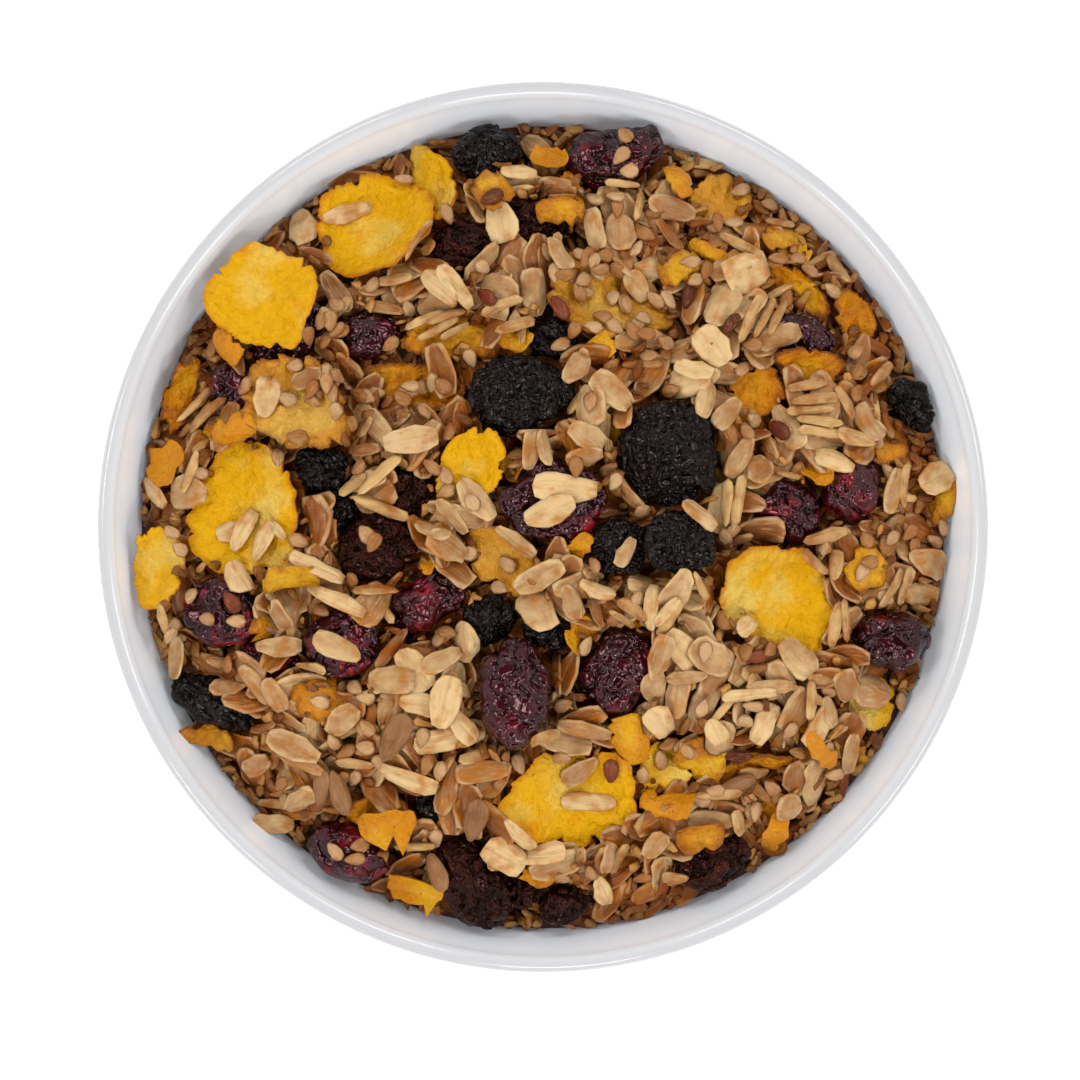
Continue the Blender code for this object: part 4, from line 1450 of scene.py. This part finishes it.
# %% Shards laid one by one
# Each row is x, y, turn in degrees, length, width.
YELLOW_SHARDS = (
    (667, 803, -5, 56, 32), (417, 884, -15, 60, 32), (234, 432, 20, 56, 28), (630, 742, -70, 56, 34),
    (168, 464, 60, 50, 38), (552, 160, -20, 48, 24), (822, 752, -50, 60, 20), (678, 180, -60, 40, 26),
    (228, 348, -50, 44, 32), (388, 822, 10, 60, 36), (775, 830, 70, 52, 22), (708, 252, -25, 44, 16),
)
BROWN_SHARDS = (
    (318, 706, -20, 62, 46), (700, 834, 5, 52, 34), (290, 582, 10, 60, 30), (208, 738, -10, 60, 26),
    (700, 762, -30, 52, 38), (890, 452, 10, 42, 22), (945, 500, 70, 56, 22), (867, 570, 40, 44, 40),
    (780, 238, 10, 46, 24), (560, 208, 5, 50, 26), (492, 192, 30, 40, 40), (680, 268, 20, 46, 30),
)
print(f"{len(YELLOW_SHARDS) + len(BROWN_SHARDS)} shards by hand")

# %% Oats laid one by one
CREAM_OATS = (
    (456, 288, -52, 56, 20), (440, 288, -42, 52, 25), (348, 213, 16, 54, 20), (266, 397, 84, 44, 26),
    (694, 370, -15, 44, 20), (712, 347, -50, 46, 34), (747, 272, 20, 56, 42), (566, 488, -4, 68, 30),
    (550, 511, 20, 56, 29), (318, 568, -25, 64, 18), (338, 600, -25, 70, 18), (834, 460, -22, 46, 24),
    (589, 802, -2, 58, 20), (660, 722, -50, 42, 28), (934, 479, 30, 38, 34), (240, 577, -60, 40, 28),
    (157, 492, -52, 44, 16), (716, 732, -65, 32, 22), (597, 589, -20, 40, 16), (652, 607, 85, 50, 16),
    (667, 612, 50, 40, 14), (520, 835, -48, 48, 18), (410, 777, -20, 66, 26), (462, 727, -50, 42, 24),
    (446, 702, 76, 56, 32), (274, 823, -6, 44, 22), (602, 888, -72, 38, 18), (750, 695, 7, 58, 14),
    (230, 531, 20, 30, 20), (244, 530, 60, 49, 18), (279, 531, -50, 24, 12), (264, 541, 63, 48, 20),
    (519, 173, -4, 39, 19), (745, 626, 40, 26, 20),
)
GOLDEN_OATS = (
    (411, 440, 7, 60, 27), (477, 500, -50, 54, 26), (452, 517, -50, 50, 16), (516, 542, -36, 50, 16),
    (540, 576, 28, 60, 26), (594, 230, 100, 46, 24), (560, 255, -62, 46, 20), (575, 369, 50, 36, 22),
    (612, 392, -40, 52, 28), (590, 405, 85, 44, 34), (722, 305, 62, 50, 36), (740, 457, 60, 50, 20),
    (700, 515, -40, 44, 20), (707, 400, 72, 42, 22), (727, 413, 50, 38, 22), (869, 422, -60, 44, 27),
    (892, 490, 76, 50, 22), (929, 562, -24, 54, 28), (675, 588, 62, 50, 30), (660, 657, 70, 50, 24),
    (797, 657, -50, 48, 32), (830, 712, -70, 36, 20), (845, 685, -75, 40, 26), (850, 752, 85, 50, 20),
    (300, 762, -22, 60, 13), (295, 747, -24, 64, 26), (300, 800, 35, 48, 22), (255, 685, -52, 50, 20),
    (275, 695, -62, 40, 22), (342, 720, 45, 44, 28), (337, 647, -26, 54, 24), (280, 646, 0, 50, 22),
    (392, 680, 0, 50, 30), (442, 660, 25, 46, 20), (482, 772, 5, 56, 24), (655, 845, 50, 34, 24),
    (711, 657, -32, 50, 34), (790, 808, 20, 32, 29), (770, 686, 0, 50, 14), (257, 765, 30, 38, 24),
    (178, 657, 85, 46, 20), (637, 287, -62, 36, 22), (434, 530, -20, 42, 16), (530, 450, 85, 42, 20),
    (545, 448, 100, 40, 18), (587, 437, -30, 42, 26), (585, 457, 10, 40, 20), (687, 677, 6, 44, 14),
)
BROWN_OATS = (
    (672, 208, -14, 56, 26), (447, 546, -30, 48, 28), (580, 770, 35, 46, 22), (760, 470, 60, 32, 28),
    (645, 893, 45, 34, 20), (585, 730, -12, 60, 18), (620, 232, 90, 40, 32), (308, 378, 20, 44, 20),
    (626, 552, 62, 34, 15), (282, 615, -66, 38, 20), (571, 602, -72, 38, 20), (607, 858, 80, 40, 16),
)
print(f"{len(CREAM_OATS) + len(GOLDEN_OATS) + len(BROWN_OATS)} oats by hand")

# %% Slivers and kernels laid one by one
PLACED_SLIVERS = (
    (425, 320, 24, 46, 10), (438, 329, 28, 50, 10), (447, 316, 20, 44, 9), (455, 331, 30, 36, 9),
    (750, 318, 65, 58, 11), (764, 318, 62, 58, 11), (778, 316, 62, 54, 9), (742, 246, -28, 54, 11),
    (807, 386, 10, 46, 11), (815, 399, 6, 52, 12), (810, 410, 3, 50, 11), (820, 421, -6, 50, 10),
    (822, 432, -8, 54, 11), (845, 402, -62, 40, 12), (855, 438, -18, 44, 16), (195, 405, 45, 50, 10),
    (207, 415, 42, 56, 11), (418, 240, 56, 50, 8), (622, 187, -2, 42, 9), (780, 222, -6, 36, 9),
    (840, 268, -52, 38, 14), (880, 374, 45, 40, 12), (380, 475, 42, 60, 15), (381, 508, -22, 64, 12),
    (502, 305, 20, 50, 14), (515, 326, 18, 44, 13), (739, 500, 80, 54, 14), (727, 503, 86, 50, 12),
    (905, 485, 86, 48, 10), (892, 588, 60, 50, 10), (904, 586, 76, 42, 10), (815, 562, -42, 40, 12),
    (835, 565, 82, 34, 14), (825, 536, 14, 50, 14), (835, 625, 80, 50, 15), (845, 620, 96, 50, 9),
    (810, 700, 88, 42, 12), (312, 667, -10, 42, 10), (355, 764, -5, 42, 12), (415, 846, 2, 46, 9),
    (190, 472, 70, 50, 12), (167, 620, -80, 46, 9), (699, 585, -64, 40, 8), (670, 617, 55, 50, 12),
    (622, 619, -32, 40, 8), (787, 475, -12, 28, 6), (738, 822, -70, 34, 16), (545, 735, 15, 40, 15),
    (675, 877, 0, 30, 14), (632, 610, -36, 36, 16), (720, 795, 4, 50, 11), (375, 590, 0, 50, 12),
)
PLACED_KERNELS = (
    (395, 737, 63, 54, 28), (340, 792, -72, 50, 20), (322, 787, 82, 44, 20), (475, 820, 76, 52, 24),
    (437, 872, -70, 42, 24), (735, 784, 18, 46, 16),
)
print(f"{len(PLACED_SLIVERS)} slivers and {len(PLACED_KERNELS)} kernels by hand")

# %% Seeds laid one by one, and middles of clusters
# Each row is x, y, turn in degrees.
PLACED_SESAME = (
    (625, 135, -50), (621, 156, 50), (629, 171, 5), (627, 305, 95), (613, 298, 80), (643, 318, 10),
    (593, 327, -10), (602, 316, -5), (574, 331, 60), (632, 330, -60), (646, 334, 0), (579, 292, -65),
    (564, 276, 0), (587, 258, 60), (605, 256, 0), (594, 263, 80), (617, 208, 90), (616, 196, 0),
    (600, 270, 0), (583, 280, 30), (655, 300, -40), (336, 305, -42), (325, 314, -62), (337, 330, 48),
    (330, 321, 90), (321, 323, 70), (312, 390, 60), (327, 384, 90), (336, 412, 80), (295, 366, 5),
    (287, 399, -25), (297, 437, 0), (358, 395, -30), (247, 388, 50), (402, 398, -42), (410, 386, 0),
    (432, 383, 85), (443, 386, -40), (718, 222, 90), (733, 222, 0), (695, 280, 30), (778, 258, 0),
    (798, 258, 5), (810, 270, -20), (752, 345, 0), (446, 492, 30), (446, 475, -70), (432, 467, -40),
    (507, 564, -40), (472, 502, -60), (590, 402, 80), (594, 565, -60), (576, 467, 90), (615, 482, 60),
    (754, 420, -40), (746, 431, -70), (943, 527, -60), (935, 541, -30), (705, 652, 80), (722, 620, -75),
    (770, 650, 40), (745, 652, 90), (191, 596, 80), (207, 619, -5), (366, 534, -50), (374, 543, 60),
    (236, 621, 0), (172, 635, 60), (172, 532, -45), (180, 549, -40), (320, 702, -15), (367, 728, -45),
    (334, 742, -62), (347, 751, 30), (365, 747, -10), (281, 784, 50), (422, 738, 80), (440, 771, 80),
    (427, 765, 70), (335, 851, -50), (355, 859, 5), (360, 845, 10), (661, 760, -70), (686, 750, -50),
    (790, 731, 40), (797, 752, -10), (835, 775, 0), (756, 812, 80), (715, 790, 0), (862, 572, 60),
    (869, 562, 0), (560, 345, 20), (666, 343, -30), (690, 262, 10), (706, 271, 70), (740, 190, 20),
)
PLACED_FLAX = (
    (560, 308, -55), (487, 297, -30), (730, 325, 50), (687, 297, 80), (780, 430, -45), (611, 771, 88),
    (737, 755, 2), (232, 602, -50), (756, 657, 8), (492, 197, 30),
)
# Middles of clusters: crumbs stuck together by syrup, and sesame on glazed flakes.
SYRUPY = (
    (867, 570), (893, 452), (943, 492), (208, 738), (320, 706), (490, 192), (700, 285), (560, 210),
    (395, 412), (640, 355), (345, 430), (745, 600), (745, 645), (720, 790), (880, 300), (700, 215),
    (660, 250), (290, 590), (500, 395), (605, 480), (690, 740), (800, 800), (380, 840), (165, 600),
)
SESAME_SPOTS = (
    (605, 300), (330, 380), (400, 385), (640, 320), (335, 318), (600, 262), (930, 540), (350, 750),
)
print(f"{len(PLACED_SESAME) + len(PLACED_FLAX)} seeds and {len(SYRUPY) + len(SESAME_SPOTS)} clusters by hand")

# %% Laying them, from the lowest to the highest
crumbs.sprinkle(SYRUPY, each=5, reach=14, ranges=CRUMB_SIZES, seed=7790, tone=0.7)
shards.set_down(YELLOW_SHARDS, SHARD_SIZES, 7700, tone=0.1)
shards.set_down(BROWN_SHARDS, SHARD_SIZES, 7710, tone=0.85)
sesame.sprinkle(SESAME_SPOTS, each=5, reach=20, ranges=SESAME_SIZES, seed=7810, on_top=True)
kernels.set_down(PLACED_KERNELS, KERNEL_SIZES, 7720, tone=0.6)
oats.set_down(BROWN_OATS, WHOLE_SIZES, 7730, tone=0.65)
oats.set_down(GOLDEN_OATS, WHOLE_SIZES, 7740, tone=0.5)
slivers.set_down(PLACED_SLIVERS, SLIVER_SIZES, 7750, tone=0.4)
oats.set_down(CREAM_OATS, WHOLE_SIZES, 7760, tone=0.1)
flax.set_down(PLACED_FLAX, FLAX_SIZES, 7770)
sesame.set_down(PLACED_SESAME, SESAME_SIZES, 7780)

oats, slivers, shards = oats.add("oats"), slivers.add("oat_slivers"), shards.add_as_flakes("flake_shards")
crumbs, sesame = crumbs.add("crumbs"), sesame.add("sesame_seeds")
flax, kernels = flax.add("flax_seeds"), kernels.add("kernels")

# %% [markdown]
# ## Finishes of the grains
#
# An oat is cream to tan. Syrup has soaked into it in patches, which are golden
# and glassy, while its edge is painted pale, a painted highlight. Its grooves are
# soft brown, and fine streaks run along it, which tint the colour as they raise the
# bump: partly the fibres' own colour, partly painted shade. A little light goes in
# and comes out red, as in all cooked grain. The mesh carries where each corner is
# along and across its own grain, so these marks turn with the grain, and a random
# number sets each one a little apart.

# %% Oat and seed finishes
LIGHT_DEPTH = 0.7 * MM  # how far light goes into a grain


def grain_finish(name, colours, roughness, soaked, furrows=0.0, streaks=0.4):
    """Pale to dark by the grain's own number, soaked with syrup in patches, with streaks and a furrow.

    The colours are the pale and the dark one, that of the syrup and that of the edge.
    """
    finish = Finish(
        name,
        subsurface_weight=0.3,
        subsurface_scale=LIGHT_DEPTH,
        subsurface_radius=(1.0, 0.42, 0.12),
        specular_ior_level=0.4,
        specular_tint=paint(255, 224, 180),
    )
    pale, dark, syrup, edge = (paint(*colour) for colour in colours)
    along, across, number = finish.vector("grain")
    where = finish.add("CombineXYZ", {}, {0: 1.1 * along, 1: 1.8 * across, 2: 40.0 * number})
    fold = finish.noise(1.0, detail=1.0, where=where)
    where = finish.add("CombineXYZ", {}, {0: 1.3 * along, 1: 4.5 * across, 2: 70.0 * number})
    streak = finish.noise(1.0, detail=3.0, where=where)
    cloud = finish.noise(2.4 * MM, detail=3.0)
    zone = finish.noise(15 * MM, detail=2.0)
    tone = number + 0.7 * (cloud - 0.5) + 0.9 * (zone - 0.5)
    colour = finish.mix(finish.step(tone, 0.0, 1.0), pale, dark)
    out = (along * along + across * across) ** 0.5
    # Towards the edge the colour goes to the edge colour: on oats, slivers and kernels a pale edge, a painted
    # highlight; on seeds and crumbs a darker rim.
    outer = finish.step(out + 0.6 * (fold - 0.5), 0.80, 1.05)
    colour = finish.mix(0.5 * outer, colour, edge)
    patch = finish.step(cloud + 0.08 * out + 0.5 * (zone - 0.5) + 0.5 * (fold - 0.5), 0.48, 0.86)
    colour = finish.mix(soaked * patch, colour, syrup)
    line = across - 0.04 + 0.9 * (fold - 0.5)
    groove = finish.step(abs(line), 0.30, 0.0) * finish.step(streak, 0.66, 0.40)
    colour = finish.mix(furrows * groove, colour, syrup)
    # The streaks tint the colour as they raise the bump: partly the fibres' own colour, partly painted shade.
    finish.wear(
        colour=finish.tint(colour, 1 - 0.6 * streaks + streaks * streak),
        roughness=roughness + 0.3 * (cloud - 0.5) - 0.14 * patch,
        relief=fold + streaks * streak - 0.5 * furrows * groove,
        depth=0.45 * MM,
        strength=0.7,
    )
    return finish


# %% Colours of the grains
OAT = (216, 183, 132), (124, 62, 16), (180, 108, 22), (222, 190, 140)
OAT_SLIVER = (214, 176, 116), (124, 58, 14), (160, 84, 10), (218, 180, 124)
BARE_KERNEL = (158, 112, 74), (130, 88, 54), (104, 60, 30), (168, 124, 86)
SESAME_HULL = (198, 160, 116), (158, 104, 56), (148, 80, 26), (118, 68, 32)
FLAX_HULL = (126, 56, 34), (88, 36, 20), (66, 24, 12), (80, 32, 18)
BAKED_CRUMB = (196, 142, 76), (92, 42, 12), (140, 68, 8), (150, 86, 34)
FLAKE_SHARD = (214, 158, 22), (198, 124, 10), (140, 68, 8), (96, 42, 8)

oat_flesh = grain_finish("oat", OAT, 0.26, soaked=0.75, furrows=0.22, streaks=0.3)
sliver_flesh = grain_finish("oat_sliver", OAT_SLIVER, 0.26, soaked=0.75)
kernel_flesh = grain_finish("kernel", BARE_KERNEL, 0.3, soaked=0.5)
sesame_hull = grain_finish("sesame", SESAME_HULL, 0.22, soaked=0.4)
flax_hull = grain_finish("flax", FLAX_HULL, 0.18, soaked=0.5)
baked_crumb = grain_finish("baked_crumb", BAKED_CRUMB, 0.24, soaked=0.85)
shard_crust = flake_finish("flake_shard", FLAKE_SHARD, 0.34, coat=0.1)
dress(oats, oat_flesh, "granola", "granola_heap")
dress(slivers, sliver_flesh, "granola")
dress(kernels, kernel_flesh, "granola")
dress(sesame, sesame_hull, "granola")
dress(flax, flax_hull, "granola")
dress(shards, shard_crust, "corn_flake")
dress(crumbs, baked_crumb, "granola")

# %% [markdown]
# ## The core under the grains
#
# Between the grains one sees down into the core. Its dark brown, darker in the
# hollows of its bump, is painted shade, for the depths of the heap that little
# light reaches. It is a turned body like the bowl, a hair inside its wall, with
# its top raised to the same dome that the grains were laid on, and roughened.

# %% The core
CORE_ROWS = 48
CORE_COLUMNS = 160
HAIR = 0.15 * MM
ROUGH = 0.35 * MM
ROUGH_LENGTH = 2.5 * MM
SUNK = 0.3 * MM  # how far the core's top lies under the dome that the grains were laid on
SMOOTH_ENDS = 2 * MM  # at the middle and at the wall, where the roughness fades


def core_grid():
    """The dome from its middle to the wall, and then the wall's own curve down to the floor."""
    reach = CORE_RADIUS + WALL_GAP - HAIR
    top = np.linspace(0, reach, CORE_ROWS)[:, None]
    dome = on_circle(top, np.linspace(0, math.tau, CORE_COLUMNS, endpoint=False))
    rough = ROUGH * ripple(dome, ROUGH_LENGTH, 81) - SUNK
    inside = smooth_step(top, 0, SMOOTH_ENDS) * smooth_step(top, reach, reach - SMOOTH_ENDS)
    dome[..., 2] = core_top(dome[..., 0], dome[..., 1]) + rough * inside
    drop = np.linspace(CORE_EDGE - LIP, FLOOR + WALL_GAP, CORE_ROWS // 2)
    side = np.stack([np.maximum(wall_radius(drop - HAIR) - 2 * HAIR, 0), drop], -1)
    side[-1, 0] = 0
    return np.concatenate([dome, turned(side, CORE_COLUMNS)[0]])[None]


core = add_skins("core_in_painted_shade", core_grid())

# %% Finish of the core, in painted shade
painted_shade_core = Finish("painted_shade_core")
# Dark brown, and darker in the hollows of the bump: painted shade.
shade = painted_shade_core.noise(1.5 * MM, detail=4.0)
painted_shade_core.wear(
    colour=painted_shade_core.mix(shade, paint(40, 14, 5), paint(124, 60, 18)),
    roughness=0.45 + 0.3 * shade,
    relief=shade,
    depth=0.8 * MM,
    strength=0.8,
)
dress(core, painted_shade_core, "granola", "granola_heap")

# %% [markdown]
# ## Floor and light
#
# The bowl stands on a plain pale floor, as in a light tent: the air round it is
# white, brightest near the floor, which lights the inside of the wall. A ring of
# small lamps above gives the fruit and the syrup their points of light.

# %% Floor
FLOOR_SIZE = 3.0

scene = bpy.context.scene
bpy.ops.mesh.primitive_plane_add(size=FLOOR_SIZE, location=(0, 0, 0))
floor = bpy.context.object
floor.name = "floor"
matt = Finish("floor_white", roughness=0.9, emission_strength=0.35, emission_color=(1, 1, 1, 1))
matt.wear(colour=matt.mix(matt.noise(200 * MM), paint(252, 252, 252), paint(255, 255, 255)))
floor.data.materials.append(matt.material)
print(f"a floor of {FLOOR_SIZE} m")

# %% Lamps
LAMPS = 7
LAMP_SIZE = 0.24
LAMP_POWER = 1.85
LAMP_FALL = 0.2  # how much weaker the lamp at the back is than one at the side
FIRST_LAMP = 0.3  # of the way from one lamp to the next, how far the first is turned
RING_RADIUS = 0.7
RING_HEIGHT = 0.78


def add_lamp(name, place, power):
    """A square lamp that faces the middle of the heap."""
    lamp = bpy.data.lights.new(name, "AREA")
    lamp.size = LAMP_SIZE
    lamp.energy = power
    made = bpy.data.objects.new(name, lamp)
    made.location = place
    aim = np.array(place) - np.array([0, 0, RIM_HEIGHT])
    tilt = math.atan2(math.hypot(aim[0], aim[1]), aim[2])
    made.rotation_euler = (tilt, 0, math.atan2(aim[1], aim[0]) + math.pi / 2)
    scene.collection.objects.link(made)


for number in range(LAMPS):
    turn = math.tau * (number + FIRST_LAMP) / LAMPS
    lamp_place = (RING_RADIUS * math.cos(turn), RING_RADIUS * math.sin(turn), RING_HEIGHT)
    add_lamp(f"lamp_{number + 1}", lamp_place, LAMP_POWER - LAMP_FALL * math.sin(turn))
print(f"{LAMPS} lamps of {LAMP_POWER} W")

# %% Sky
AROUND = 1.1
OVERHEAD = 0.1
LOW_AIR = 0.2  # sine of the angle over the floor up to which the air is brightest
HIGH_AIR = 0.9  # and from which it is dimmest


def add_sky():
    """White air, bright near the floor, and dimmer straight above, where the camera would be."""
    sky = bpy.data.worlds.new("sky")
    sky.use_nodes = True
    nodes, links = sky.node_tree.nodes, sky.node_tree.links
    direction = nodes.new("ShaderNodeTexCoord").outputs["Generated"]
    parts = nodes.new("ShaderNodeSeparateXYZ")
    links.new(direction, parts.inputs[0])
    dimmed = nodes.new("ShaderNodeMapRange")
    dimmed.interpolation_type = "SMOOTHSTEP"
    ends = {"From Min": LOW_AIR, "From Max": HIGH_AIR, "To Min": AROUND, "To Max": OVERHEAD}
    for socket, value in ends.items():
        dimmed.inputs[socket].default_value = value
    links.new(parts.outputs["Z"], dimmed.inputs["Value"])
    background = nodes["Background"]
    background.inputs["Color"].default_value = (1, 1, 1, 1)
    links.new(dimmed.outputs["Result"], background.inputs["Strength"])
    scene.world = sky


add_sky()
scene.view_settings.view_transform = "Standard"
print(f"air of {AROUND} at the floor and {OVERHEAD} overhead")
